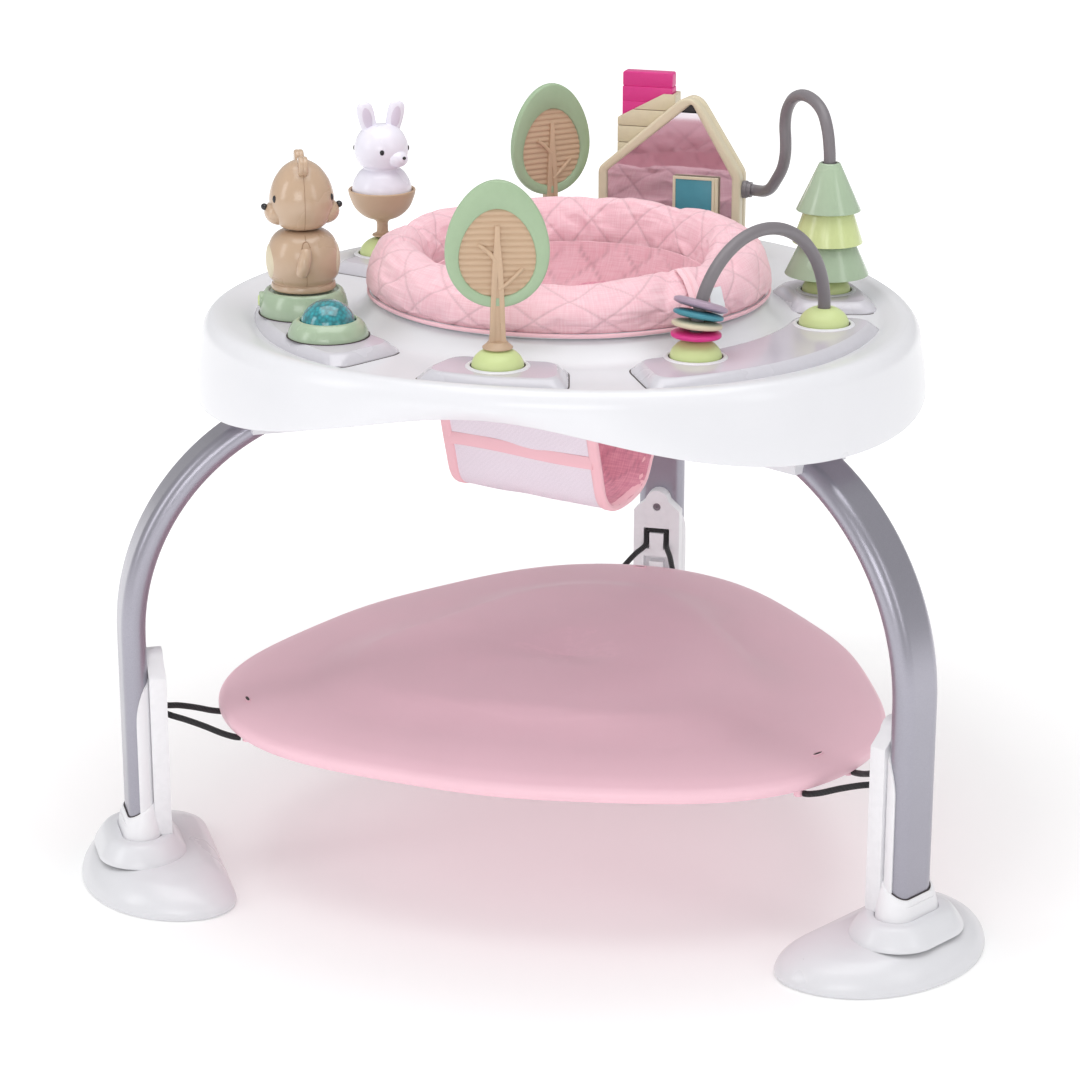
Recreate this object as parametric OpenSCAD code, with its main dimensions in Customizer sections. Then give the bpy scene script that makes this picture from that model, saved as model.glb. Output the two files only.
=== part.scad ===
// Activity jumper: a lobed play tray on three arched legs, a turning padded seat and a sprung foot board.
// Lengths are in millimetres, +Z is up, the back leg points along +Y and the floor is z = 0.

/* [Legs and feet] */
// Distance from the seat axis to the outer edge of each foot
foot_reach = 437; // [432:1:442]
// Half length of a foot, measured sideways
foot_half = 105; // [100:1:108]
// Distance from the seat axis to the centre of each leg tube
leg_r = 386; // [384:1:388]
// Radius of the bend in each leg tube
bend_r = 200; // [196:1:204]
// Height at which the bend starts
bend_z = 226; // [222:1:230]
// Angle that the leg tube bends through
bend_angle = 70; // [66:1:74]
// Width of the flattened leg tube
tube_w = 45; // [42:1:48]
// Depth of the flattened leg tube
tube_d = 21; // [19:1:23]
// Wall of the leg tube
tube_wall = 1.6; // [1.2:0.1:2]
// Spacing of the height hooks on each leg
hook_pitch = 29.5; // [28:0.5:30]

/* [Tray] */
// Mean radius of the lower edge of the tray
tray_r = 305; // [303:1:307]
// How far the lower edge reaches out over each leg and in between the legs
tray_lobe = 19; // [17:1:20]
// Height of the tray floor
floor_z = 481; // [480:0.5:482]
// Height of the top of the rim
rim_z = 490.5; // [490:0.5:492]
// Wall of the moulded tray
shell = 3.5; // [3:0.1:4]
// Radius of the hole that the seat turns in
hole_r = 158; // [157:0.5:159]
// Thickness of the toy plates
plate_h = 9; // [8:0.5:10]

/* [Seat] */
// Outer radius of the seat cushion
pad_r = 171; // [169:0.5:173]
// Height of the top of the seat cushion
pad_top = 553; // [548:1:556]
// Radius of the opening in the seat cushion
pad_in = 118; // [114:1:122]
// Height of the underside of the seat sling
sling_z = 329; // [323:1:335]
// How far the lowest line of the sling lies in front of the seat axis
sling_shift = 42; // [34:1:46]
// Length of the seat sling between its leg openings
sling_len = 156; // [140:2:160]
// Angle that the sling is turned to
sling_turn = -18; // [-30:1:30]

/* [Foot board] */
// Mean radius of the foot board
board_r = 285; // [280:1:287]
// How far the board reaches out towards each leg
board_lobe = 24.6; // [20:0.2:26]
// Height of the edge of the board
board_z = 147; // [144:1:150]
// Rise of the board from its edge to its middle
board_crown = 20; // [14:1:24]
// Wall of the moulded board
board_wall = 3; // [2.6:0.2:4]
// Thickness of the bungee cord
cord_d = 5.4; // [4.6:0.2:6]

/* [Toys] */
// Radius of the dome under each toy
dome_r = 21; // [19:0.5:22]
// Height of the dome under each toy
dome_h = 14; // [12:0.5:15]
// Thickness of the toy arch and of the wire
wire_d = 10.5; // [9:0.5:11]
// Radius of the toy arch, to the middle of its tube
arch_r = 77; // [76:0.5:78]
// Radius of the flat beads
bead_r = 20.5; // [18:0.5:21]
// Width of a tree crown
crown_w = 82; // [74:1:86]
// Height of a tree crown
crown_h = 102; // [94:1:104]

/* [Hidden] */
$fn = 48;
LEGS = [210, 330, 90];

// The foot outline is half an ellipse outside, a flat inside and two rounded corners between them.
foot_mid = 352;
foot_inner = 315;
foot_corner = 35;
foot_front = foot_mid / 2 + sqrt(pow((foot_reach - foot_mid) / 2, 2) + pow(foot_half * sqrt(3) / 2, 2));
// The seat axis is set back so that the origin is the middle of the whole outline.
seat_y = (max(foot_front, rim_r(270)) - foot_reach) / 2;

// Toy stations, measured from the seat axis.
plate_z = floor_z + plate_h;
dome_z = plate_z + dome_h;
front_tree_at = [-3, -219];
back_tree_at = [-69, 205];
pine_at = [206, 96];
bear_at = [-207, -92];
orb_at = [-163, -161];
bunny_at = [-208, 134];
arch_mid = [183.5, -87.5];
arch_turn = 58.2;
arch_z = 505;
house_y = 208;
house_turn = -3;
house_depth = 28;
shaft_r = 4;
shaft_fit = 0.06;
post_z = 50;
rubber_h = 1;

function lobe(a) = cos(3 * (a - 90));
function lobe2(a) = cos(6 * (a - 90));
function tray_edge(a) = tray_r + tray_lobe * lobe(a) - 3.6 * lobe2(a);
function tray_edge_z(a) = 440 - 20.5 * lobe(a) + 1.75 * lobe2(a);
function rim_r(a) = 302.5 + 10.8 * lobe(a);
function board_edge(a) = board_r + board_lobe * lobe(a) + 2.6 * lobe2(a) - cos(9 * (a - 90));
function polar(r, a, z) = [r * cos(a), r * sin(a), z];

module at_seat() translate([0, seat_y, 0]) children();
module on_leg(i) at_seat() rotate([0, 0, LEGS[i]]) children();
module at_point(p, z) at_seat() translate([p[0], p[1], z]) children();

// A closed skin through rings of points. loop joins the last ring to the first, otherwise both ends are capped.
module skin(rings, loop = false) {
    n = len(rings[0]);
    m = len(rings);
    last = loop ? m - 1 : m - 2;
    sides = [for (i = [0:last], j = [0:n - 1], h = [0, 1])
        let (a = i * n, b = ((i + 1) % m) * n, k = (j + 1) % n)
        h == 0 ? [a + j, a + k, b + j] : [a + k, b + k, b + j]];
    caps = loop ? [] : [[for (j = [n - 1:-1:0]) j], [for (j = [0:n - 1]) (m - 1) * n + j]];
    polyhedron([for (r = rings, p = r) p], concat(sides, caps));
}

// A ring of points for each entry of a list, where each entry's radii and heights come from a function of angle.
tray_steps = 72;
function tray_profile(a) =
    let (e = tray_edge(a), ez = tray_edge_z(a), s = rim_r(a), c = s - 13, q = 271 + 3 * lobe(a))
    [[hole_r, 500], [169, 500], [171, 497], [174, 486], [180, floor_z], [q - 3, floor_z], [q, floor_z + 3],
     [c - 5, rim_z - 1], [c, rim_z], [c + 6, rim_z - 1.5], [s - 2, 481], [s, 473],
     [(s + e) / 2 + 0.5, (473 + ez) / 2], [e, ez],
     [e - shell, ez], [(s + e) / 2 - shell + 0.5, (473 + ez) / 2], [s - shell - 1, 472], [c + 2, rim_z - 6],
     [c - 6, rim_z - 6], [q - 2, floor_z - shell], [178, floor_z - shell], [169, 480], [166, 494], [hole_r, 495]];

module tray_top() color("whitesmoke") at_seat()
    skin([for (i = [0:tray_steps - 1])
        let (a = -i * 360 / tray_steps) [for (p = tray_profile(a)) polar(p[0], a, p[1])]], loop = true);

// Ring that the turning seat is held down by, fixed under the tray floor.
module seat_support_ring() color("gainsboro") at_seat()
    translate([0, 0, floor_z - shell - 3]) difference() {
        cylinder(r = 214, h = 3, $fn = 96);
        translate([0, 0, -1]) cylinder(r = hole_r - 1, h = 5, $fn = 96);
    }

// Flattened tube section, d across and w wide.
module oval(d, w) {
    square([d, w - d], center = true);
    for (s = [-1, 1]) translate([0, s * (w - d) / 2]) circle(d = d);
}
module tube_path(d, w, low, turn) {
    translate([leg_r, 0, low]) linear_extrude(bend_z - low) oval(d, w);
    translate([leg_r - bend_r, 0, bend_z]) rotate([90, 0, 0])
        rotate_extrude(angle = turn, $fn = 120) translate([bend_r, 0]) oval(d, w);
}
module leg_tube(i) color("silver") on_leg(i) difference() {
    tube_path(tube_d, tube_w, post_z - 14, bend_angle);
    tube_path(tube_d - 2 * tube_wall, tube_w - 2 * tube_wall, post_z - 20, bend_angle + 1);
}

// Socket that each leg plugs into under the tray.
module leg_sockets() color("whitesmoke") for (i = [0:2]) on_leg(i) difference() {
    translate([236, -32, 402]) cube([46, 64, floor_z - shell - 402]);
    tube_path(tube_d, tube_w, bend_z - 10, bend_angle);
}

// Post around the foot of the tube, with the row of cord hooks on its inner side.
strip_w = 46;
strip_in = 361;
hook_top = 166;
module hook_groove() {
    groove = 6;
    tongue = 14;
    difference() {
        translate([0, 0, -8]) cube([9, tongue + 2 * groove, 22], center = true);
        translate([0, 0, -12]) cube([10, tongue, 19], center = true);
    }
}
module leg_shroud(i) color("white") on_leg(i) difference() {
    union() {
        translate([leg_r, 0, 30]) linear_extrude(post_z - 14 - 30 + 22) oval(tube_d + 9, tube_w + 9);
        translate([strip_in, 0, 0]) rotate([90, 0, 90]) linear_extrude(leg_r - strip_in - tube_d / 2)
            polygon(concat([[-strip_w / 2, cap_z + 17.2], [strip_w / 2, cap_z + 17.2], [strip_w / 2, 190]],
                [for (t = [10:20:170]) [12 * cos(t), 198 + 13 * sin(t)]], [[-strip_w / 2, 190]]));
    }
    translate([leg_r, 0, post_z - 14]) linear_extrude(200) oval(tube_d, tube_w);
    for (k = [0:3]) translate([strip_in + 4.5, 0, hook_top + 3 - k * hook_pitch]) hook_groove();
    translate([strip_in - 1, 0, 194]) rotate([0, 90, 0]) cylinder(d = 8, h = 5);
    translate([strip_in, 0, 194]) rotate([0, 90, 0]) cylinder(d = 4, h = 20);
}
module shroud_screws() color("dimgray") for (i = [0:2]) on_leg(i)
    translate([strip_in, 0, 194]) rotate([0, 90, 0]) difference() {
        union() {
            translate([0, 0, 1.5]) cylinder(d = 7.4, h = 2.5);
            translate([0, 0, 4]) cylinder(d = 4, h = leg_r - strip_in - tube_d / 2 - 4);
        }
        translate([0, 0, 1]) cylinder(d = 3.2, h = 2.2, $fn = 6);
    }

// Foot outline point for a parameter t that runs from 0 to 4 around the edge.
function foot_point(t) =
    t < 2 ? [foot_mid + (foot_reach - foot_mid) * sin(90 * t), -foot_half * cos(90 * t)]
    : t < 3 ? let (u = 90 * (t - 2)) [foot_mid - (foot_mid - foot_inner) * sin(u), foot_half - foot_corner * (1 - cos(u))]
    : let (u = 90 * (4 - t)) [foot_mid - (foot_mid - foot_inner) * sin(u), -foot_half + foot_corner * (1 - cos(u))];
foot_steps = 56;
foot_c = 378;
function foot_ring(s, z) = [for (j = [0:foot_steps - 1])
    let (p = foot_point(4 * j / foot_steps)) [foot_c + s * (p[0] - foot_c), s * p[1], z]];
cap_z = 30;
module foot_base(i) color("white") on_leg(i)
    skin([for (k = [[0.99, rubber_h], [1, 4], [0.97, 11], [0.88, 20], [0.74, 27], [0.52, cap_z], [0.45, cap_z]])
        foot_ring(k[0], k[1])]);
function stadium_ring(a, b, z) = [for (j = [0:47]) let (t = 7.5 * j)
    [leg_r + a * cos(t), (b - a) * sign(sin(t)) + a * sin(t), z]];
// Cap that covers the top of the foot around the post.
module foot_cap(i) color("white") on_leg(i)
    skin([for (k = [[36, 51, 0], [35, 50, 5], [31, 46, 11], [27, 40, 15], [24, 36, 17], [15.2, 27.2, 17], [15.2, 27.2, 0]])
        stadium_ring(k[0], k[1], cap_z + k[2])], loop = true);
module foot_pads() color("dimgray") for (i = [0:2]) on_leg(i)
    for (p = [[415, 0], [360, -80], [360, 80], [330, 0]]) translate([p[0], p[1], 0]) cylinder(r = 9, h = rubber_h);

// A toy plate: a sector of a ring whose inner and outer sides lean in towards its top.
plate_steps = 20;
module plate(r1, r2, a1, a2, tone) color(tone) at_seat()
    skin([for (i = [0:plate_steps]) let (a = a2 + (a1 - a2) * i / plate_steps)
        [for (p = [[r1, floor_z], [r1, floor_z + 2], [r1 + 3, plate_z], [r2 - 3, plate_z], [r2, floor_z + 2], [r2, floor_z]])
            polar(p[0], a, p[1])]]);
lilac = "thistle";
module plate_front_tree() plate(190, 259, 255, 284, lilac);
module plate_beads() plate(190, 268, 298, 363, lilac);
module plate_pine() plate(190, 264, 12, 38, lilac);
module plate_house() plate(190, 268, 62, 120, lilac);
module plate_bunny() plate(190, 264, 134, 160, lilac);
module plate_bear() plate(190, 268, 186, 240, lilac);

// Domes that the toys stand in, each with the bore of its own shaft.
module dome(p, bore) at_point(p, plate_z) rotate_extrude()
    polygon(concat([[bore, 0]], [for (t = [0:8:64]) [dome_r * cos(t), dome_h / sin(64) * sin(t)]], [[bore, dome_h]]));
module toy_domes() color("greenyellow") {
    for (p = [front_tree_at, back_tree_at, bunny_at]) dome(p, shaft_r + shaft_fit);
    dome(pine_at, wire_d / 2);
    for (s = [-1, 1]) dome(arch_end(s), wire_d / 2 + 1);
}
function arch_end(s) = [arch_mid[0] + s * arch_r * cos(arch_turn), arch_mid[1] + s * arch_r * sin(arch_turn)];

module in_arch() at_point(arch_mid, arch_z) rotate([0, 0, arch_turn]) rotate([90, 0, 0]) children();
// The arch carries on a little way down past its half circle, into both domes.
arch_tail = 8;
module arch_tube() color("gray") in_arch()
    rotate_extrude(angle = 180 + 2 * arch_tail, start = -arch_tail, $fn = 96) translate([arch_r, 0]) circle(d = wire_d);
bead_gap = 6;
bead_start = 2.6;
module bead(k, r, sides, tone) color(tone) in_arch() rotate([0, 0, 180 - bead_start - k * bead_gap])
    translate([arch_r, 0, 0]) rotate([90, 0, 0]) difference() {
        rotate_extrude($fn = sides) polygon([[0, -2.5], [r - 5, -2.2], [r, -0.8], [r, 0.8], [r - 5, 2.2], [0, 2.5]]);
        translate([0, 0, -5]) cylinder(d = wire_d + 2.4, h = 10);
    }
module bead_magenta() bead(0, bead_r, 48, "mediumvioletred");
module bead_cream() bead(1, bead_r, 48, "wheat");
module bead_teal() bead(2, bead_r, 48, "cadetblue");
module bead_mauve() bead(3, bead_r + 2.5, 48, "rosybrown");

// Route of the wire from the pine tree's dome, up and over to the house wall, then its swept tube.
wire_route = [[206, 96, 490], [206, 96, 520], [206, 96, 560], [206, 96, 600], [205, 97, 616], [202, 101, 631],
    [196, 110, 643], [186, 123, 650], [174, 139, 651], [163, 154, 645], [156, 163, 633], [154, 166, 619],
    [155, 165, 606], [155, 165, 593], [152, 169, 580], [145, 178, 567], [138, 191, 557], [130, 204, 551],
    [122, 213.5, 549], [116, 216.1, 549], [112.1, 216.3, 549]];
function unit(v) = v / norm(v);
function heading(path, i) = unit(path[min(i + 1, len(path) - 1)] - path[max(i - 1, 0)]);
function side_of(d) = unit(cross(d, abs(d[2]) > 0.9 ? [0.6, 0.8, 0] : [0, 0, 1]));
// Side directions are carried from ring to ring so that the tube doesn't twist.
function carry(path, i, s) = i >= len(path) ? []
    : let (d = heading(path, i), v = unit(s - (s * d) * d)) concat([[d, v, cross(d, v)]], carry(path, i + 1, v));
module sweep(path, r, sides) {
    frames = carry(path, 0, side_of(heading(path, 0)));
    skin([for (i = [0:len(path) - 1]) [for (k = [0:sides - 1])
        let (t = -360 * k / sides) path[i] + r * (cos(t) * frames[i][1] + sin(t) * frames[i][2])]]);
}
module wire_tube() color("gray") at_seat() sweep(wire_route, wire_d / 2 - 0.05, 12);
module in_house() at_point([41, house_y], 0) rotate([0, 0, house_turn]) children();
module wire_socket() color("gray") in_house() translate([wall_r, 12, 549]) rotate([0, 90, 0]) difference() {
    union() {
        cylinder(d = 16, h = 4);
        cylinder(d = 14, h = 8);
    }
    translate([0, 0, 4]) cylinder(d = wire_d, h = 6);
}

// Nested hollow cones of the pine tree, free to turn on the wire.
module cone(low, high, r_low, r_high, tone) color(tone) at_point(pine_at, 0) rotate_extrude($fn = 64)
    polygon([[6.5, high], [r_high, high], [r_low, low], [r_low - 2, low], [r_high - 2, high - 2.5], [6.5, high - 2.5]]);
module pine_cone_low() cone(505, 541, 36.5, 20, "darkseagreen");
module pine_cone_mid() cone(533, 570, 30.5, 18, "yellowgreen");
module pine_cone_top() cone(561, 602, 28, 9, "darkseagreen");

// Bear station: fixed housing with a small button, a turning body and a turning head.
bear_turn = 205;
base_top = 511;
module in_bear(z) at_point(bear_at, z) rotate([0, 0, bear_turn]) children();
module bear_base() color("darkseagreen") difference() {
    at_point(bear_at, plate_z) rotate_extrude()
        polygon([[0, 0], [37, 0], [36.5, 8], [34.5, 15], [31, base_top - plate_z], [0, base_top - plate_z]]);
    at_point(bear_at, base_top - 12) cylinder(r = shaft_r + shaft_fit, h = 20);
    at_point(bear_at, plate_z + 11) rotate([0, 0, 200]) rotate([0, 90, 0]) translate([0, 0, 26]) cylinder(r = 5.06, h = 20);
}
module bear_button() color("yellowgreen") at_point(bear_at, plate_z + 11) rotate([0, 0, 200]) rotate([0, 90, 0])
    translate([0, 0, 30]) cylinder(r = 5, h = 8.5);
module bear_body() color("tan") at_point(bear_at, 0) {
    rotate_extrude() polygon([[0, base_top + 0.5], [26, base_top + 0.5], [26.5, base_top + 4], [25.5, base_top + 6],
        [29, 521], [31, 532], [30, 545], [25, 556], [18, 562], [0, 562]]);
    translate([0, 0, base_top - 10]) cylinder(r = shaft_r, h = 12);
    translate([0, 0, 561]) cylinder(r = shaft_r, h = 10);
    rotate([0, 0, bear_turn + 85]) translate([29, 0, 540]) cube([8, 9, 22], center = true);
    rotate([0, 0, bear_turn - 95]) translate([29, 0, 540]) cube([8, 9, 22], center = true);
}
head_z = 562.5;
module bear_head() color("tan") difference() {
    union() {
        in_bear(0) rotate_extrude()
            polygon([[0, head_z], [17, head_z], [22, 569], [25.5, 579], [26, 591], [23, 604], [17, 613], [9, 618.5], [0, 620]]);
        for (s = [-1, 1]) {
            in_bear(582) translate([s * 21, 0, 0]) rotate([0, s * 90, 0]) cylinder(r1 = 13, r2 = 7, h = 12);
            in_bear(0) translate([0, s * 15, 617]) rotate([90, 0, 90]) cylinder(r = 8, h = 8, center = true);
        }
    }
    at_point(bear_at, head_z - 1) cylinder(r = shaft_r + shaft_fit, h = 12);
}

module orb_ring() color("darkseagreen") at_point(orb_at, plate_z) difference() {
    rotate_extrude() polygon([[0, 0], [33, 0], [32.5, 5], [29, 11], [25.5, 14], [0, 14]]);
    translate([0, 0, 4]) cylinder(r = 23.1, h = 12);
}
module orb_dome() color("teal") at_point(orb_at, plate_z + 8) rotate_extrude()
    polygon([[0, 0], [23, 0], [23, 7], [21, 13], [16, 18], [9, 21], [0, 22]]);

// Bunny station: a bowl on a sprung stem, and a figure that turns in it.
bunny_turn = 331;
module bunny_bowl() color("tan") at_point(bunny_at, 0) difference() {
    rotate_extrude() polygon([[0, 506.5], [5, 506.5], [5, 521], [15, 523], [25, 532], [30.5, 548], [0, 548]]);
    rotate_extrude() polygon([[0, 541], [26, 541], [28.5, 549], [0, 549]]);
    translate([0, 0, 528]) cylinder(r = shaft_r + shaft_fit, h = 20);
}
module bunny_figure() color("white") at_point(bunny_at, 0) rotate([0, 0, bunny_turn]) {
    rotate_extrude() polygon([[0, 541.5], [25.5, 541.5], [27, 548], [26, 556], [21, 565], [15, 569], [22, 574],
        [24.5, 584], [23.5, 594], [18, 603], [10, 608], [0, 609]]);
    translate([0, 0, 530]) cylinder(r = shaft_r, h = 12);
    translate([19, 0, 578]) rotate([0, 90, 0]) cylinder(r1 = 11, r2 = 5, h = 11);
    for (s = [-1, 1]) translate([0, s * 12, 602]) rotate([s * -10, 0, 0])
        linear_extrude(28) square([7, 11], center = true);
}

// Spinner trees. An egg-shaped crown with an oval panel, clipped on a trunk with two branches.
function egg(w, h, n) = [for (j = [0:n - 1]) let (t = 360 * j / n)
    [w / 2 * cos(t) * (1 - 0.13 * sin(t)), h / 2 * (1 + sin(t))]];
crown_t = 7;
panel_w = 60;
panel_h = 70;
module in_tree(p, turn, z) at_point(p, z) rotate([0, 0, turn]) rotate([90, 0, 90]) children();
module crown(p, turn, z) color("darkseagreen") in_tree(p, turn, z) difference() {
    translate([0, 0, -crown_t / 2]) linear_extrude(crown_t) polygon(egg(crown_w, crown_h, 48));
    translate([0, 9, -crown_t]) linear_extrude(2 * crown_t) polygon(egg(panel_w, panel_h, 40));
    translate([-6.5, -1, -crown_t]) cube([13, 20, 2 * crown_t]);
}
module trunk(p, turn, z) color("tan") {
    in_tree(p, turn, z) {
        translate([0, 9, -1.8]) linear_extrude(3.6) polygon(egg(panel_w - 0.1, panel_h - 0.1, 40));
        translate([0, 0, -3.5]) linear_extrude(7)
            polygon([[-6.4, -32], [6.4, -32], [5, 30], [2.4, 66], [-2.4, 66], [-5, 30]]);
        for (s = [-1, 1]) translate([0, s < 0 ? 36 : 19, -3]) rotate([0, 0, -s * 45])
            linear_extrude(6) translate([-1.8, 0]) square([3.6, s < 0 ? 16 : 22]);
    }
    at_point(p, z - 33) cylinder(r1 = 12, r2 = 9, h = 3);
    at_point(p, z - 43) cylinder(r = shaft_r, h = 12);
}
crown_z = dome_z + 0.5 + 33;
front_turn = 288;
back_turn = 316;
module front_tree_crown() crown(front_tree_at, front_turn, crown_z);
module front_tree_trunk() trunk(front_tree_at, front_turn, crown_z);
module back_tree_crown() crown(back_tree_at, back_turn, crown_z);
module back_tree_trunk() trunk(back_tree_at, back_turn, crown_z);

// House: an open gabled frame with a mirror in it, a hinged door and a chimney at its back.
wall_l = -67;
wall_r = 66.5;
eave_z = 563;
apex = [19, 638];
frame_w = 8;
function gable(d) = [[wall_l + d, plate_z + d], [wall_r - d, plate_z + d], [wall_r - d, eave_z - d / 3],
    [apex[0] + d / 8, apex[1] - 1.5 * d], [wall_l + d, eave_z - d / 3]];
module house_panel(y0, y1) translate([0, y1, 0]) rotate([90, 0, 0]) linear_extrude(y1 - y0) children();
module house_frame() color("wheat") in_house() difference() {
    house_panel(0, house_depth) polygon(gable(0));
    house_panel(-1, house_depth - 4) polygon(gable(frame_w));
}
module house_mirror() color("lightpink") in_house() house_panel(4, 6) polygon(gable(frame_w));
door_l = 4;
door_r = 43;
door_z = 560;
module house_door() color("cadetblue") in_house() {
    house_panel(-1, 2) translate([door_l, plate_z + 10]) square([door_r - door_l, door_z - plate_z - 10]);
    translate([door_r + 1.5, 0.5, plate_z + 10]) cylinder(r = 2, h = door_z - plate_z - 10);
}
chimney_l = -57;
chimney_r = -3;
module chimney_stack() color("wheat") in_house() difference() {
    house_panel(house_depth, house_depth + 22)
        polygon([[chimney_l, plate_z], [chimney_r, plate_z], [chimney_r, 634], [chimney_l, 605]]);
    translate([chimney_l + 3, house_depth + 3, plate_z + 3]) cube([48, 16, 200]);
}
module chimney_block() color("mediumvioletred") in_house()
    translate([chimney_l + 3.4, house_depth + 3.4, 560]) cube([47.2, 15.2, 87]);

// Electronics box under the light orb, with its screwed battery cover below.
module_turn = 232;
module sound_module() color("dimgray") at_seat() rotate([0, 0, module_turn])
    translate([216, -30, 446]) cube([34, 60, floor_z - shell - 446]);
module battery_cover() color("whitesmoke") at_seat() rotate([0, 0, module_turn])
    translate([218, -26, 443]) cube([30, 52, 3]);

// Turning seat ring: a flange over the tray collar, a wall through the hole and a lip below.
module seat_ring() color("white") at_seat() rotate_extrude($fn = 120)
    polygon([[140, 500.6], [150, 500.6], [150, 462], [164, 462], [164, 466], [156, 466], [156, 500.6], [169, 500.6],
        [169, 504.6], [140, 504.6]]);
module seat_pad() color("pink") at_seat() rotate_extrude($fn = 120)
    polygon([[pad_in + 6, 504.6], [pad_in, 520], [pad_in + 4, 540], [pad_in + 15, pad_top - 2], [pad_in + 27, pad_top],
        [158, pad_top - 5], [167, 537], [pad_r, 523], [pad_r - 1, 504.6]]);
sling_half = [[30, 9], [44, 38], [58, 76], [76, 110], [104, 142], [150, 166]];
cloth = 3;
function sling_line(dx, dz) = concat(
    [for (i = [len(sling_half) - 1:-1:0])
        [dx - sling_half[i][0] * (150 - sling_shift) / 150, sling_z + dz + sling_half[i][1]]],
    [[0, sling_z + dz]],
    [for (p = sling_half) [p[0] * (150 + sling_shift) / 150 - dx, sling_z + dz + p[1]]]);
module seat_sling() color("pink") at_seat() {
    inner = sling_line(1.5, cloth);
    difference() {
        translate([0, 0, 474]) cylinder(r = 149.7, h = 26.3, $fn = 120);
        translate([0, 0, 470]) cylinder(r = 147, h = 40, $fn = 120);
    }
    intersection() {
        rotate([0, 0, sling_turn]) translate([-sling_len / 2, -sling_shift, 0]) rotate([90, 0, 90]) linear_extrude(sling_len)
            polygon(concat(sling_line(0, 0), [for (i = [len(inner) - 1:-1:0]) inner[i]]));
        translate([0, 0, 300]) cylinder(r = 149, h = 190, $fn = 120);
    }
}

// Foot board: a crowned shell with a rolled edge, hung from three bungee cords.
board_steps = 60;
function board_ring(s, dz, inset = 0) = [for (j = [0:board_steps - 1]) let (a = -360 * j / board_steps)
    polar(s * board_edge(a) - inset, a, board_z + dz)];
module foot_board() color("pink") at_seat() {
    t = board_wall;
    c = board_crown;
    skin([board_ring(0.12, c - t), board_ring(0.5, 0.84 * c - t), board_ring(0.8, 0.5 * c - t), board_ring(0.95, 0.15 * c - t, 1),
        board_ring(1, -t, 5), board_ring(1, -8, 5), board_ring(1, -8, 2), board_ring(1, -4), board_ring(1, 0), board_ring(1, 3.5, 2),
        board_ring(0.955, 0.38 * c, 0), board_ring(0.8, 0.6 * c), board_ring(0.5, 0.88 * c), board_ring(0.12, c)]);
    for (a = LEGS, s = [-1, 1]) rotate([0, 0, a]) translate([295, s * 32, board_z - 21]) cylinder(r = 5, h = 23);
}
cord_half = [[300.4, 32, 133.5], [306, 31, 134.3], [316, 28, 137.5], [330, 23, 143.5], [345, 17.5, 149], [356, 12.5, 152],
    [361.5, 10.4, 154.5], [364.3, 10.1, 159], [364.5, 10.1, 164.5], [364.5, 10, 167.5], [364.5, 8, 169.3], [364.5, 3, 169.3]];
module bungee(i) color("black") on_leg(i)
    sweep(concat([for (p = cord_half) p], [for (k = [len(cord_half) - 1:-1:0])
        let (p = cord_half[k]) [p[0], -p[1], p[2]]]), cord_d / 2, 8);

module leg_tube_left() leg_tube(0);
module leg_tube_right() leg_tube(1);
module leg_tube_rear() leg_tube(2);
module leg_shroud_left() leg_shroud(0);
module leg_shroud_right() leg_shroud(1);
module leg_shroud_rear() leg_shroud(2);
module foot_base_left() foot_base(0);
module foot_base_right() foot_base(1);
module foot_base_rear() foot_base(2);
module foot_cap_left() foot_cap(0);
module foot_cap_right() foot_cap(1);
module foot_cap_rear() foot_cap(2);
module bungee_left() bungee(0);
module bungee_right() bungee(1);
module bungee_rear() bungee(2);

tray_top();
seat_support_ring();
leg_sockets();
sound_module();
battery_cover();
leg_tube_left();
leg_tube_right();
leg_tube_rear();
leg_shroud_left();
leg_shroud_right();
leg_shroud_rear();
shroud_screws();
foot_base_left();
foot_base_right();
foot_base_rear();
foot_cap_left();
foot_cap_right();
foot_cap_rear();
foot_pads();
plate_front_tree();
plate_beads();
plate_pine();
plate_house();
plate_bunny();
plate_bear();
toy_domes();
arch_tube();
bead_magenta();
bead_cream();
bead_teal();
bead_mauve();
wire_tube();
wire_socket();
pine_cone_low();
pine_cone_mid();
pine_cone_top();
bear_base();
bear_button();
bear_body();
bear_head();
orb_ring();
orb_dome();
bunny_bowl();
bunny_figure();
front_tree_crown();
front_tree_trunk();
back_tree_crown();
back_tree_trunk();
house_frame();
house_mirror();
house_door();
chimney_stack();
chimney_block();
seat_ring();
seat_pad();
seat_sling();
foot_board();
bungee_left();
bungee_right();
bungee_rear();
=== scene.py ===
import bpy, bmesh, math
from mathutils import Matrix, Vector, noise


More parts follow.
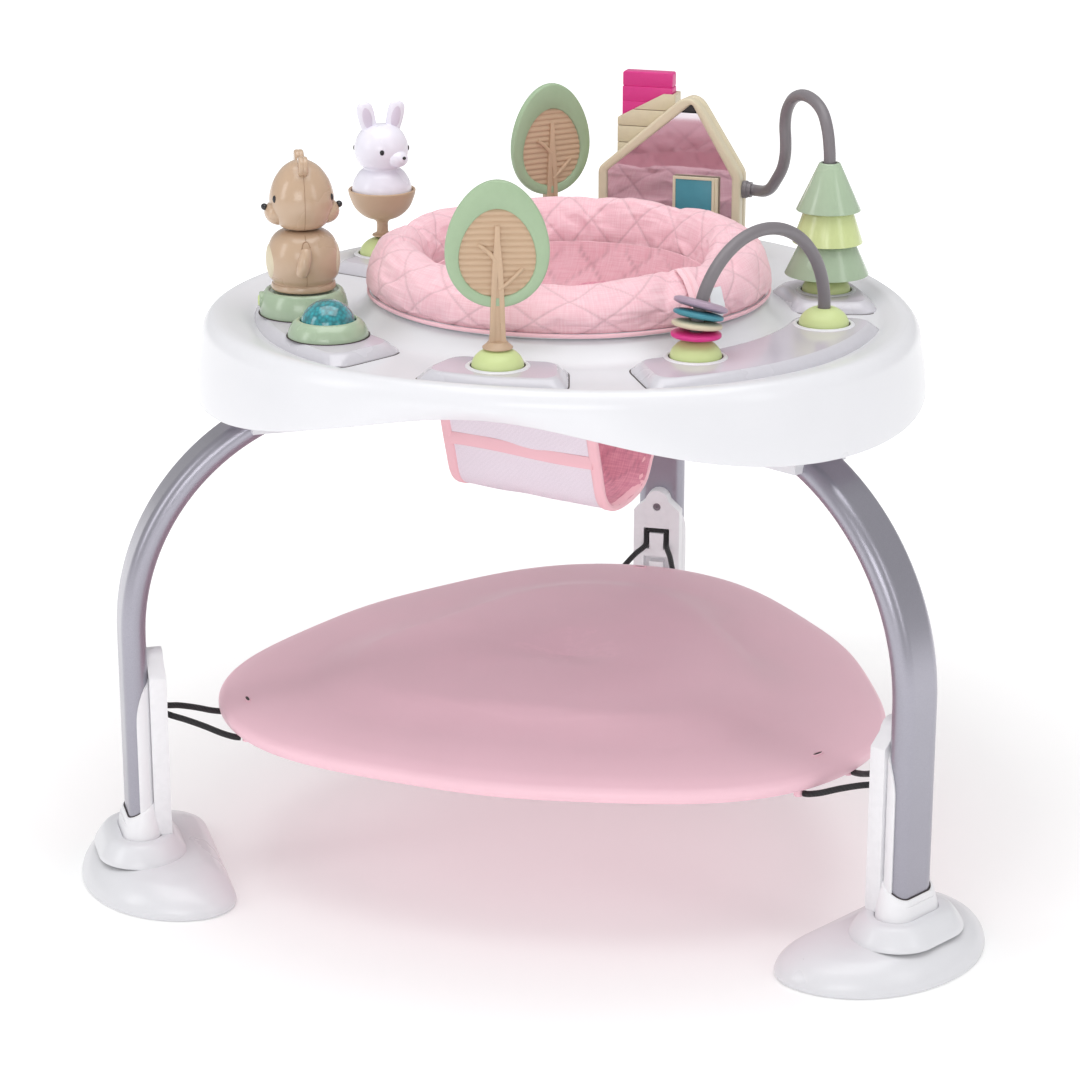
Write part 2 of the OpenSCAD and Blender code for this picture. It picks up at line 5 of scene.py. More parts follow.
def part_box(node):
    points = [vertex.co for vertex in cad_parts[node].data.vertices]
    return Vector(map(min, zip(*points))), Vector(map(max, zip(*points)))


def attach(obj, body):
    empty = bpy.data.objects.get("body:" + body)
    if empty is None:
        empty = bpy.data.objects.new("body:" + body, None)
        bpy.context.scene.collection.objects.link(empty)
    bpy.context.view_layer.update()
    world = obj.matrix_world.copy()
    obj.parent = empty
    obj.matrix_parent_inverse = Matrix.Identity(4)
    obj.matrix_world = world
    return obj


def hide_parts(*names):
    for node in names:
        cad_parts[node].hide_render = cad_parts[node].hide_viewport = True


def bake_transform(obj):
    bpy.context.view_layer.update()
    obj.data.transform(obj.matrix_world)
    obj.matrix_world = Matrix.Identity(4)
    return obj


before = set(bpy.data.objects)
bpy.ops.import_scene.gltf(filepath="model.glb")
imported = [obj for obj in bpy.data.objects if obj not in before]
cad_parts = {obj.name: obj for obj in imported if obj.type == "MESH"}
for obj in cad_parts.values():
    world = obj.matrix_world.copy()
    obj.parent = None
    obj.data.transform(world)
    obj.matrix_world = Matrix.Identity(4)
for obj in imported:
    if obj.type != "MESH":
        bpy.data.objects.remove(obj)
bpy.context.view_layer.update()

# Places are in millimetres from the seat axis on the floor, as in the part's source; a matrix turns them into metres.
seatLow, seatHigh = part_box("seat_pad")
seatAxisY = (seatLow.y + seatHigh.y) / 2
atSeat = Matrix.Translation((0, seatAxisY, 0)) @ Matrix.Scale(0.001, 4)
legAngles = {"left": 210, "right": 330, "rear": 90}


def turn(axis, degrees):
    return Matrix.Rotation(math.radians(degrees), 4, axis)


def stand(x, y, z=0, degrees=0):
    return atSeat @ shift(x, y, z) @ turn("Z", degrees)


def onLeg(name):
    return atSeat @ turn("Z", legAngles[name])


def polar(radius, degrees, z=0.0):
    return Vector((radius * math.cos(math.radians(degrees)), radius * math.sin(math.radians(degrees)), z))


def shift(x, y=0, z=0):
    return Matrix.Translation((x, y, z))


def cosine(degrees):
    return math.cos(math.radians(degrees))


def smoothStep(low, high, value):
    t = min(1.0, max(0.0, (value - low) / (high - low)))
    return t * t * (3 - 2 * t)


print("stage: camera and light")
view = {"lens": 104.46, "distance": 2.608318, "height": 1.136371, "azimuth": 14.042, "pitch": 18.2742, "yaw": -0.5404,
        "sensor": 36, "clipEnd": 60}


def newObject(name, data):
    made = bpy.data.objects.new(name, data)
    bpy.context.collection.objects.link(made)
    return made


def addCamera():
    a, p, w = (math.radians(view[k]) for k in ("azimuth", "pitch", "yaw"))
    inward, across = Vector((-math.sin(a), math.cos(a), 0)), Vector((math.cos(a), math.sin(a), 0))
    ahead = inward * math.cos(w) + across * math.sin(w)
    right = across * math.cos(w) - inward * math.sin(w)
    forward = ahead * math.cos(p) - Vector((0, 0, math.sin(p)))
    up = right.cross(forward)
    data = bpy.data.cameras.new("camera")
    data.lens, data.sensor_width, data.clip_end = view["lens"], view["sensor"], view["clipEnd"]
    camera = newObject("camera", data)
    place = (math.sin(a) * view["distance"], -math.cos(a) * view["distance"] + seatAxisY, view["height"])
    camera.matrix_world = Matrix.Translation(place) @ Matrix((right, up, -forward)).transposed().to_4x4()
    bpy.context.scene.camera = camera


def addLight(name, place, aim, size, power):
    data = bpy.data.lights.new(name, "AREA")
    data.shape, data.size, data.size_y, data.energy = "RECTANGLE", size[0], size[1], power
    lamp = newObject(name, data)
    lamp.location = place
    lamp.rotation_euler = (Vector(aim) - Vector(place)).to_track_quat("-Z", "Y").to_euler()


# nearGlow and farGlow are painted light: the floor glows weakly near the object and strongly far off.
studio = {"air": 0.52, "overhead": 40, "left": 10, "right": 7, "front": 16, "nearGlow": 0.20, "farGlow": 0.7,
          "glowFrom": 0.40, "glowTo": 1.35, "floor": 22}


def addStudio():
    addLight("overhead", (0.1, -0.3, 2.9), (0, 0, 0.3), (2.6, 2.2), studio["overhead"])
    addLight("leftBox", (-2.2, -1.7, 1.5), (0, 0, 0.45), (0.7, 1.7), studio["left"])
    addLight("rightBox", (2.5, -1.3, 1.6), (0, 0, 0.4), (0.7, 1.7), studio["right"])
    addLight("frontBox", (0.2, -3.4, 1.35), (0, 0, 0.25), (1.6, 1.0), studio["front"])
    world = bpy.data.worlds.new("air")
    world.use_nodes = True
    sky = world.node_tree.nodes["Background"].inputs
    sky["Color"].default_value, sky["Strength"].default_value = (1, 1, 1, 1), studio["air"]
    bpy.context.scene.world = world
    bpy.context.scene.view_settings.view_transform = "Standard"


addCamera()
addStudio()

print("stage: materials")


def tone(red, green, blue):
    return tuple((c / 255 / 12.92 if c <= 10 else ((c / 255 + 0.055) / 1.055) ** 2.4) for c in (red, green,
            blue)) + (1.0,)


class Sockets:
    # Short wiring for one node tree.
    def __init__(self, tree):
        self.tree = tree

    def add(self, kind, values=None, **settings):
        node = self.tree.nodes.new(kind)
        for name, value in settings.items():
            setattr(node, name, value)
        for name, value in (values or {}).items():
            self.feed(node.inputs[name], value)
        return node

    def feed(self, socket, value):
        if isinstance(value, bpy.types.NodeSocket):
            self.tree.links.new(value, socket)
        else:
            socket.default_value = value

    def math(self, operation, a, b=0.0, c=0.0):
        return self.add("ShaderNodeMath", {0: a, 1: b, 2: c}, operation=operation).outputs[0]

    def mix(self, factor, a, b):
        node = self.add("ShaderNodeMix", data_type="RGBA")
        for name, value in (("Factor_Float", factor), ("A_Color", a), ("B_Color", b)):
            self.feed(next(s for s in node.inputs if s.identifier == name), value)
        return next(s for s in node.outputs if s.identifier == "Result_Color")

    def ramp(self, value, low, high, first=0.0, last=1.0):
        limits = {"Value": value, "From Min": low, "From Max": high, "To Min": first, "To Max": last}
        return self.add("ShaderNodeMapRange", limits).outputs[0]

    def bump(self, shader, height, strength, distance):
        relief = self.add("ShaderNodeBump", {"Height": height, "Strength": strength, "Distance": distance})
        self.feed(shader.inputs["Normal"], relief.outputs[0])

    def group(self, tree):
        return self.add("ShaderNodeGroup", {}, node_tree=tree)

    def onObject(self):
        return self.add("ShaderNodeTexCoord").outputs["Object"]

    def onCloth(self):
        return [self.add("ShaderNodeAttribute", attribute_name=name).outputs["Fac"] for name in ("clothAcross",
                "clothAlong")]


def makeGroup(name, inputs, outputs):
    group = bpy.data.node_groups.new(name, "ShaderNodeTree")
    for label, value in inputs.items():
        group.interface.new_socket(label, in_out="INPUT", socket_type="NodeSocketFloat").default_value = value
    for label in outputs:
        group.interface.new_socket(label, in_out="OUTPUT", socket_type="NodeSocketFloat")
    s = Sockets(group)
    return group, s, s.add("NodeGroupInput").outputs, s.add("NodeGroupOutput").inputs


def mouldGrainGroup():
    group, s, given, out = makeGroup("mouldGrain", {"Grain": 900.0, "Patches": 14.0}, ["Height", "Patch", "Dust"])
    place = s.onObject()
    fine = s.add("ShaderNodeTexNoise", {"Vector": place, "Scale": given["Grain"], "Detail": 2.0}).outputs["Fac"]
    wide = s.add("ShaderNodeTexNoise", {"Vector": place, "Scale": given["Patches"], "Detail": 4.0}).outputs["Fac"]
    specks = s.add("ShaderNodeTexVoronoi", {"Vector": place, "Scale": 420.0}).outputs["Distance"]
    s.feed(out["Height"], fine)
    s.feed(out["Patch"], s.ramp(wide, 0.3, 0.7))
    s.feed(out["Dust"], s.ramp(specks, 0.10, 0.03))
    return group


def edgeWearGroup():
    group, s, given, out = makeGroup("edgeWear", {"Spread": 0.06}, ["Mask"])
    point = s.add("ShaderNodeNewGeometry").outputs["Pointiness"]
    broken = s.add("ShaderNodeTexNoise", {"Vector": s.onObject(), "Scale": 160.0}).outputs["Fac"]
    limit = s.math("ADD", 0.5, given["Spread"])
    edge = s.add("ShaderNodeMapRange", {"Value": point, "From Min": 0.5, "From Max": limit}).outputs[0]
    s.feed(out["Mask"], s.math("MULTIPLY", edge, s.ramp(broken, 0.35, 0.6)))
    return group


def weaveGroup():
    # Threads follow the two cloth coordinates that a fabric piece stores, in millimetres.
    group, s, given, out = makeGroup("slubWeave", {"Pitch": 1.0, "Slub": 1.0}, ["Height", "Slub", "Thread"])
    across, along = s.onCloth()
    waves = []
    for value in (across, along):
        waves.append(s.math("SINE", s.math("DIVIDE", s.math("MULTIPLY", value, 2 * math.pi), given["Pitch"])))
    s.feed(out["Height"], s.math("MULTIPLY_ADD", s.math("MULTIPLY", waves[0], waves[1]), 0.5, 0.5))
    streaks = []
    for a, b in ((across, along), (along, across)):
        flat = s.add("ShaderNodeCombineXYZ", {"X": s.math("MULTIPLY", a, 0.045),
                "Y": s.math("MULTIPLY", b, 0.75)}).outputs[0]
        streaks.append(s.add("ShaderNodeTexNoise", {"Vector": flat, "Scale": given["Slub"],
                "Detail": 2.0}).outputs["Fac"])
    s.feed(out["Slub"], s.ramp(s.math("ADD", streaks[0], streaks[1]), 0.78, 1.25))
    s.feed(out["Thread"], s.ramp(s.math("MULTIPLY", waves[0], waves[1]), -1.0, 1.0))
    return group


grainGroup, wearGroup, clothGroup = mouldGrainGroup(), edgeWearGroup(), weaveGroup()


def newMaterial(name, **constants):
    material = bpy.data.materials.new(name)
    material.use_nodes = True
    s = Sockets(material.node_tree)
    shader = material.node_tree.nodes["Principled BSDF"]
    for label, value in constants.items():
        shader.inputs[label.replace("_", " ")].default_value = value
    return material, s, shader


def shadeOf(colour, factor):
    return tuple(c * factor for c in colour[:3]) + (1.0,)


def plastic(name, colour, roughness=0.28, grain=900.0, bump=0.012, depth=0.06, coat=0.0, **more):
    material, s, shader = newMaterial(name, Coat_Weight=coat, Coat_Roughness=0.12, **more)
    skin = s.group(grainGroup)
    skin.inputs["Grain"].default_value = grain
    worn = s.group(wearGroup).outputs["Mask"]
    tinted = s.mix(skin.outputs["Patch"], shadeOf(colour, 1 - depth), colour)
    dusty = s.mix(s.math("MULTIPLY", skin.outputs["Dust"], 0.10), tinted, shadeOf(colour, 0.8))
    s.feed(shader.inputs["Base Color"], s.mix(s.math("MULTIPLY", worn, 0.25), dusty, shadeOf(colour, 1.12)))
    s.feed(shader.inputs["Roughness"], s.ramp(skin.outputs["Patch"], 0, 1, roughness - 0.03, roughness + 0.05))
    s.bump(shader, skin.outputs["Height"], bump * 8, 0.0004)
    return material


def fabric(name, colour, dark, pitch=1.0, slub=1.0):
    material, s, shader = newMaterial(name, Roughness=0.82, Sheen_Weight=0.25, Sheen_Roughness=0.5)
    weave = s.group(clothGroup)
    weave.inputs["Pitch"].default_value, weave.inputs["Slub"].default_value = pitch, slub
    skin = s.group(grainGroup)
    stitchShade = s.add("ShaderNodeAttribute", attribute_name="stitchShade").outputs["Fac"]
    thready = s.mix(weave.outputs["Slub"], dark, colour)
    patchy = s.mix(s.math("MULTIPLY", skin.outputs["Patch"], 0.25), thready, shadeOf(colour, 1.06))
    woven = s.mix(s.math("MULTIPLY", weave.outputs["Thread"], 0.22), patchy, shadeOf(dark, 0.9))
    # Darker along the sewn diamond lines: painted shade in the quilting creases.
    s.feed(shader.inputs["Base Color"], s.mix(s.math("MULTIPLY", stitchShade, 0.42), woven, shadeOf(dark, 0.55)))
    high = s.math("ADD", weave.outputs["Height"], s.math("MULTIPLY", weave.outputs["Slub"], 0.8))
    s.bump(shader, high, 0.5, 0.0003)
    return material


def meshCloth(name, colour):
    material, s, shader = newMaterial(name, Roughness=0.6, Sheen_Weight=0.2)
    across, along = s.onCloth()
    holes = s.add("ShaderNodeTexVoronoi", {"Vector": s.add("ShaderNodeCombineXYZ",
            {"X": across, "Y": along}).outputs[0], "Scale": 0.8, "Randomness": 0.12}).outputs["Distance"]
    hole = s.ramp(holes, 0.30, 0.42)
    skin = s.group(grainGroup)
    yarn = s.mix(skin.outputs["Patch"], shadeOf(colour, 0.94), colour)
    s.feed(shader.inputs["Base Color"], s.mix(hole, shadeOf(colour, 0.78), yarn))
    s.bump(shader, hole, 0.35, 0.0003)
    return material


def metalPaint(name, colour):
    material, s, shader = newMaterial(name, Metallic=0.75, Coat_Weight=0.35, Coat_Roughness=0.15)
    place = s.onObject()
    flakes = s.add("ShaderNodeTexVoronoi", {"Vector": place, "Scale": 2600.0})
    skin = s.group(grainGroup)
    sparkle = s.mix(s.ramp(flakes.outputs["Distance"], 0.1, 0.6), shadeOf(colour, 1.15), shadeOf(colour, 0.92))
    s.feed(shader.inputs["Base Color"], s.mix(s.math("MULTIPLY", skin.outputs["Patch"], 0.3), sparkle,
            shadeOf(colour, 0.93)))
    s.feed(shader.inputs["Roughness"], s.ramp(skin.outputs["Patch"], 0, 1, 0.3, 0.38))
    s.bump(shader, flakes.outputs["Distance"], 0.04, 0.0002)
    return material


def braid(name, colour):
    material, s, shader = newMaterial(name, Roughness=0.7, Sheen_Weight=0.15)
    place = s.onObject()
    strands = s.add("ShaderNodeTexWave", {"Vector": place, "Scale": 170.0, "Distortion": 2.0},
                    bands_direction="DIAGONAL").outputs["Fac"]
    s.feed(shader.inputs["Base Color"], s.mix(strands, shadeOf(colour, 0.6), colour))
    s.bump(shader, strands, 0.6, 0.0005)
    return material


def mirrorFace(name):
    material, s, shader = newMaterial(name, Metallic=1.0)
    skin = s.group(grainGroup)
    s.feed(shader.inputs["Base Color"], s.mix(skin.outputs["Dust"], tone(212, 202, 208), tone(200, 190, 196)))
    s.feed(shader.inputs["Roughness"], s.ramp(skin.outputs["Patch"], 0, 1, 0.03, 0.06))
    return material


def orbGlass(name, colour):
    material, s, shader = newMaterial(name, Roughness=0.2, IOR=1.5, Coat_Weight=1.0, Coat_Roughness=0.03)
    cells = s.add("ShaderNodeTexVoronoi", {"Vector": s.onObject(), "Scale": 300.0})
    s.feed(shader.inputs["Base Color"], s.mix(s.ramp(cells.outputs["Distance"], 0.1, 0.75), shadeOf(colour, 1.15),
            shadeOf(colour, 0.5)))
    # The emission is painted light: the orb glows faintly, brighter at the middle of each facet, though it holds no
    # lamp.
    s.feed(shader.inputs["Emission Color"], s.mix(cells.outputs["Distance"], shadeOf(colour, 1.0),
            shadeOf(colour, 0.2)))
    shader.inputs["Emission Strength"].default_value = 0.04
    s.bump(shader, cells.outputs["Distance"], 0.16, 0.001)
    return material


plastics = [  # finish, slot, material, colour, roughness, other settings
    ("white", "white_shell", "whiteShell", (226, 226, 230), 0.3, {"grain": 700.0, "depth": 0.02, "coat": 0.25}),
    ("post", "white_shell", "postPlastic", (238, 237, 240), 0.42, {"grain": 1100.0, "bump": 0.03, "depth": 0.02}),
    ("plateTop", "toy_lilac", "plateLilac", (206, 198, 210), 0.2, {"depth": 0.02, "coat": 0.5}),
    ("plateSide", "toy_lilac", "plateSkirt", (205, 203, 210), 0.25, {"depth": 0.02, "coat": 0.4}),
    # gap is painted shade: a dark colour laid into gaps, slots and holes where only shadow falls.
    ("gap", "dark_plastic", "shadowGap", (62, 52, 50), 0.6, {}),
    ("lime", "toy_lime", "limeSoft", (210, 224, 158), 0.38, {"grain": 1400.0, "bump": 0.03, "depth": 0.04}),
    ("sage", "toy_sage", "sageSoft", (158, 181, 148), 0.36, {"grain": 1400.0, "bump": 0.03, "depth": 0.05}),
    ("sageGloss", "toy_sage", "sageGloss", (168, 188, 160), 0.24, {"grain": 900.0, "depth": 0.05, "coat": 0.5}),
    ("limeGloss", "toy_lime", "limeGloss", (208, 220, 156), 0.24, {"grain": 900.0, "depth": 0.04, "coat": 0.5}),
    ("tan", "toy_tan", "tanSoft", (197, 168, 140), 0.36, {"grain": 1400.0, "bump": 0.03, "depth": 0.05}),
    ("tanGloss", "toy_tan", "tanGloss", (192, 164, 138), 0.25, {"grain": 900.0, "depth": 0.03, "coat": 0.5}),
    ("tanDark", "toy_tan", "tanGroove", (160, 130, 104), 0.5, {"grain": 1400.0}),
    ("cream", "toy_cream", "creamSoft", (214, 202, 175), 0.4, {"grain": 1300.0, "bump": 0.035, "depth": 0.05}),
    ("magenta", "toy_magenta", "magentaSoft", (214, 48, 134), 0.33, {"grain": 1400.0, "depth": 0.06}),
    ("teal", "toy_teal", "tealSoft", (66, 140, 156), 0.34, {"grain": 1400.0, "depth": 0.06}),
    ("mauve", "toy_mauve", "mauveSoft", (168, 147, 166), 0.3, {"grain": 1400.0, "depth": 0.05}),
    ("bunny", "toy_white", "bunnyShell", (236, 233, 244), 0.24, {"depth": 0.02, "coat": 0.3}),
    ("innerEar", "toy_white", "innerEar", (216, 206, 222), 0.4, {}),
    ("tube", "tube_grey", "tubeGrey", (122, 117, 121), 0.33, {"grain": 1200.0, "bump": 0.03, "depth": 0.06}),
    ("black", "dark_plastic", "glossBlack", (34, 32, 36), 0.18, {}),
    ("dark", "dark_plastic", "darkPlastic", (56, 55, 60), 0.5, {"grain": 1000.0, "bump": 0.05}),
    ("boardPink", "board_pink", "boardPink", (246, 202, 214), 0.42, {"grain": 1200.0, "bump": 0.03, "depth": 0.03}),
    ("screw", "screw_steel", "screwSteel", (150, 150, 155), 0.3, {"Metallic": 0.9}),
    ("rubber", "foot_rubber", "padRubber", (70, 70, 74), 0.75, {"grain": 500.0, "bump": 0.08}),
]
finishes = {key: plastic(name, tone(*colour), rough, **more) for key, slot, name, colour, rough, more in plastics}
slots = {row[0]: row[1] for row in plastics}
for key, slot, material in (
        ("legPaint", "leg_paint", metalPaint("legPaint", tone(163, 161, 172))),
        ("bungee", "bungee_cord", braid("bungeeBraid", tone(30, 29, 32))),
        ("quilt", "seat_fabric", fabric("quiltedPink", tone(251, 211, 219), tone(242, 189, 200))),
        ("lining", "seat_fabric", fabric("quiltedLining", tone(232, 166, 182), tone(208, 132, 154))),
        ("binding", "seat_fabric", fabric("pinkBinding", tone(250, 206, 212), tone(242, 186, 196), pitch=0.8,
                                          slub=0.5)),
        ("webbing", "seat_fabric", fabric("paleWebbing", tone(252, 216, 222), tone(244, 196, 206), pitch=1.6,
                                          slub=0.4)),
        ("tag", "seat_fabric", fabric("whiteTag", tone(244, 245, 246), tone(226, 230, 236), pitch=0.5, slub=0.3)),
        ("mesh", "sling_mesh", meshCloth("lilacMesh", tone(247, 237, 247))),
        ("mirror", "mirror_face", mirrorFace("mirrorFace")),
        ("orb", "orb_clear", orbGlass("orbGlass", tone(38, 150, 160)))):
    finishes[key], slots[key] = material, slot


def fillet(points, radii, closed=False, steps=5):
    # Rounds the corners of a 2D line. radii is one number or one for each point.
    count = len(points)
    radii = radii if isinstance(radii, (list, tuple)) else [radii] * count
    result = []
    for i, p in enumerate(points):
        if not closed and i in (0, count - 1):
            result.append(Vector(p))
            continue
        p = Vector(p)
        before, after = Vector(points[i - 1]) - p, Vector(points[(i + 1) % count]) - p
        reach = min(radii[i], before.length * 0.48, after.length * 0.48)
        start, end = p + before.normalized() * reach, p + after.normalized() * reach
        for k in range(steps + 1):
            t = k / steps
            result.append(start * (1 - t) ** 2 + p * 2 * t * (1 - t) + end * t * t)
    return result


def build(name, points, faces, finish, body, placing=None, sharp=38, bevel=0.0, rounds=2, replaces=()):
    # A finished piece from points and faces, with its material and the body that it rides on.
    mesh = bpy.data.meshes.new(name)
    work = bmesh.new()
    placing = placing or atSeat
    corners = [work.verts.new(placing @ Vector(p)) for p in points]
    for f in faces:
        if len(set(f)) > 2:
            work.faces.new([corners[i] for i in f])
    bmesh.ops.remove_doubles(work, verts=work.verts, dist=2e-6)
    bmesh.ops.dissolve_degenerate(work, edges=work.edges, dist=1e-7)
    bmesh.ops.recalc_face_normals(work, faces=work.faces)
    work.to_mesh(mesh)
    work.free()
    piece = newObject(name, mesh)
    return finishPiece(piece, finish, body, sharp, bevel, rounds, replaces)


def finishPiece(piece, finish, body, sharp=38, bevel=0.0, rounds=2, replaces=()):
    if bevel:
        edge = piece.modifiers.new("edge", "BEVEL")
        edge.width, edge.segments, edge.limit_method, edge.angle_limit = bevel / 1000, rounds, "ANGLE", math.radians(32)
    applyAll(piece)
    piece.data.shade_smooth()
    piece.data.set_sharp_from_angle(angle=math.radians(sharp))
    piece.data.materials.clear()
    piece.data.materials.append(finishes[finish])
    if body:
        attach(piece, body)
    if replaces:
        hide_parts(*replaces)
    return piece


def paintCarried(node, finish):
    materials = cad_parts[node].data.materials
    materials.clear()
    materials.append(finishes[finish])


def applyAll(piece):
    if piece.modifiers:
        ready = bpy.data.meshes.new_from_object(piece.evaluated_get(bpy.context.evaluated_depsgraph_get()))
        piece.modifiers.clear()
        piece.data = ready


def loft(rings, closed=True, loop=False, capped=True):
    # Points and faces of a skin through rings. closed joins a ring's ends, loop joins the last ring to the first.
    n = len(rings[0])
    points = [p for ring in rings for p in ring]
    faces = []
    for i in range(len(rings) if loop else len(rings) - 1):
        a, b = i * n, ((i + 1) % len(rings)) * n
        for j in range(n if closed else n - 1):
            k = (j + 1) % n
            faces.append((a + j, a + k, b + k, b + j))
    if capped and closed and not loop:
        faces += [tuple(range(n))[::-1], tuple(range((len(rings) - 1) * n, len(rings) * n))]
    return points, faces


def lathe(profile, steps=64):
    # A turned shape about local Z from (radius, height) pairs.
    rings = [[polar(r, 360.0 * i / steps, z) for r, z in profile] for i in range(steps)]
    return loft(rings, closed=False, loop=True, capped=False)


def slab(outline, low, high):
    # A flat plate with this outline between two heights.
    return loft([[(x, y, low) for x, y in outline], [(x, y, high) for x, y in outline]])


def frameSlab(outer, inner, low, high):
    # A flat plate with a hole; both outlines have the same number of points.
    rings = [[(x, y, low) for x, y in outer], [(x, y, high) for x, y in outer],
             [(x, y, high) for x, y in inner], [(x, y, low) for x, y in inner]]
    return loft(rings, loop=True)


def smoothPath(points, fine=6):
    # A Catmull-Rom line through points.
    path, last = [], len(points) - 1
    pts = [Vector(p) for p in points]
    for i in range(last):
        a, b, c, d = pts[max(i - 1, 0)], pts[i], pts[i + 1], pts[min(i + 2, last)]
        for k in range(fine):
            t = k / fine
            square, cube = 2 * a - 5 * b + 4 * c - d, 3 * b - a - 3 * c + d
            path.append(0.5 * (2 * b + (c - a) * t + square * t * t + cube * t ** 3))
    return path + [pts[-1]]


def rod(path, radius, sides=20, flat=None, up=(0, 0, 1)):
    # A swept tube. flat gives it an oval section, radius along up and flat across; radius may change along the path.
    rings, side = [], None
    for i, p in enumerate(path):
        ahead = (path[min(i + 1, len(path) - 1)] - path[max(i - 1, 0)]).normalized()
        guess = Vector(up) if side is None else side
        side = (guess - ahead * guess.dot(ahead)).normalized()
        across = ahead.cross(side)
        r = radius(i / (len(path) - 1)) if callable(radius) else radius
        w = r if flat is None else flat
        rings.append([p + side * r * math.cos(2 * math.pi * k / sides) + across * w * math.sin(2 * math.pi * k / sides)
                      for k in range(sides)])
    return loft(rings)


def ellipse(width, height, count=32):
    return [(width / 2 * math.cos(t),
             height / 2 * math.sin(t)) for t in (2 * math.pi * k / count for k in range(count))]


def join(*parts):
    # Several point and face lists as one.
    points, faces = [], []
    for p, f in parts:
        faces += [tuple(i + len(points) for i in face) for face in f]
        points += list(p)
    return points, faces


def moved(part, matrix):
    return [matrix @ Vector(p) for p in part[0]], part[1]


def blob(rx, ry, rz, steps=28):
    # A closed rounded form with three half widths.
    profile = [(math.cos(t), math.sin(t)) for t in (math.pi * (k / steps - 0.5) for k in range(steps + 1))]
    points, faces = lathe([(max(r, 0), z) for r, z in profile], steps)
    return [(p[0] * rx, p[1] * ry, p[2] * rz) for p in points], faces

print("stage: tray")
tray = {"floor": 481.0, "rim": 490.5, "wall": 3.5, "steps": 288, "soft": 302.5, "lobe": 10.8}


def lobe(a, times=3):
    return cosine(times * (a - 90))


def traySection(a):
    edge = 305 + 19 * lobe(a) - 3.6 * lobe(a, 6)
    edgeZ = 440 - 20.5 * lobe(a) + 1.75 * lobe(a, 6)
    soft = tray["soft"] + tray["lobe"] * lobe(a)
    crest, inner, floor, wall = soft - 13, 271 + 3 * lobe(a), tray["floor"], tray["wall"]
    corners = [(158, 494.8, 1), (158, 500, 1.5), (168, 499.6, 5), (177, 489, 9), (190, floor, 9), (inner - 6, floor, 7),
               (inner + 3, floor + 5, 5), (crest - 3, tray["rim"] - 0.2, 8), (crest + 6, tray["rim"] - 0.8, 12),
               (soft - 1, 482, 9),
               (soft + 0.5, 473, 8), ((soft + edge) / 2 + 1, (473 + edgeZ) / 2, 14), (edge, edgeZ, 1.3),
               (edge - wall, edgeZ, 1.3), ((soft + edge) / 2 - wall, (473 + edgeZ) / 2, 8), (soft - wall - 2, 471, 4),
               (crest + 2, tray["rim"] - 6, 3),
               (crest - 6, tray["rim"] - 6, 3), (inner - 2, floor - wall, 3), (186, floor - wall, 4), (172, 486, 4),
               (166, 495, 2)]
    return [polar(p[0], a, p[1]) for p in fillet([c[:2] for c in corners], [c[2] for c in corners], closed=True,
            steps=4)]


def addTray():
    rings = [traySection(360 * i / tray["steps"]) for i in range(tray["steps"])]
    build("trayShell", *loft(rings, loop=True), "white", "frame", sharp=60, replaces=["tray_top"])


addTray()

# Toy plates: inner and outer radius, first and last angle.
plates = {"plate_front_tree": (190, 259, 255, 284), "plate_beads": (190, 268, 298, 363),
          "plate_pine": (190, 264, 12, 38),
          "plate_house": (190, 268, 62, 120), "plate_bunny": (190, 264, 134, 160), "plate_bear": (190, 268, 186, 240)}
plateLook = {"corner": 19.0, "lean": 7.5, "top": 490.0, "gap": 1.1}


def plateOutline(r1, r2, a1, a2, inset=0.0):
    corner = plateLook["corner"] - 0.3 * inset
    arcs, points = [], []
    for r, first, last in ((r1 + inset, a1, a2), (r2 - inset, a2, a1)):
        way = 1 if last > first else -1
        trim, cut = math.degrees(inset / r) * way, math.degrees(corner / r) * way
        arcs.append([polar(r, first + trim)] + [polar(r,
                first + trim + cut + (last - first - 2 * (trim + cut)) * i / 14)
                                                for i in range(15)] + [polar(r, last - trim)])
    for arc, other in ((arcs[0], arcs[1]), (arcs[1], arcs[0])):
        side = (other[0] - arc[-1]).normalized() * corner
        points += arc[1:-1]
        for a, p, b, marks in ((arc[-2], arc[-1], arc[-1] + side, range(1, 9)),
                               (other[0] - side, other[0], other[1], range(8))):
            points += [a * (1 - t) ** 2 + p * 2 * t * (1 - t) + b * t * t for t in (k / 8 for k in marks)]
    return [p.xy for p in points]


def addPlate(node):
    size, floor, top, lean = plates[node], tray["floor"], plateLook["top"], plateLook["lean"]
    level = lambda inset, z: [(p[0], p[1], z) for p in plateOutline(*size, inset=inset)]
    skirt = [(0, floor - 0.5), (0, floor + 1.2), (lean - 1.5, top - 1.6), (lean, top - 0.5), (lean + 1.6, top - 0.05)]
    build(node.replace("plate_", "plateSide_"), *loft([level(*s) for s in skirt], capped=False), "plateSide", "frame",
          sharp=50)
    points, faces = loft([level(lean + 1.6, top - 0.05), level(lean + 2.6, top)], capped=False)
    n = len(points) // 2
    build(node.replace("plate_", "plateTop_"), points, faces + [tuple(range(n, 2 * n))], "plateTop", "frame",
          replaces=[node])
    # A thin dark ring round the plate at the tray floor: painted shade in the recess around the plate.
    ringIn, ringOut = plateOutline(*size, inset=-0.1), plateOutline(*size, inset=-plateLook["gap"])
    gap = frameSlab(ringOut, ringIn, floor - 0.6, floor + 0.15)
    build(node.replace("plate_", "plateShadowGap_"), *gap, "gap", "frame")


for node in plates:
    addPlate(node)

# Where the toys stand, measured from the seat axis.
spots = {"frontTree": (-3, -219), "backTree": (-69, 205), "pine": (206, 96), "bear": (-207, -92), "orb": (-163, -161),
         "bunny": (-208, 134), "arch": (183.5, -87.5), "house": (41, 208)}
archLook = {"turn": 58.2, "height": 505, "radius": 77, "tube": 5.25}
archEnds = [(Vector(spots["arch"]) + s * polar(archLook["radius"], archLook["turn"]).xy) for s in (-1, 1)]
domeLook = {"radius": 21, "height": 14}


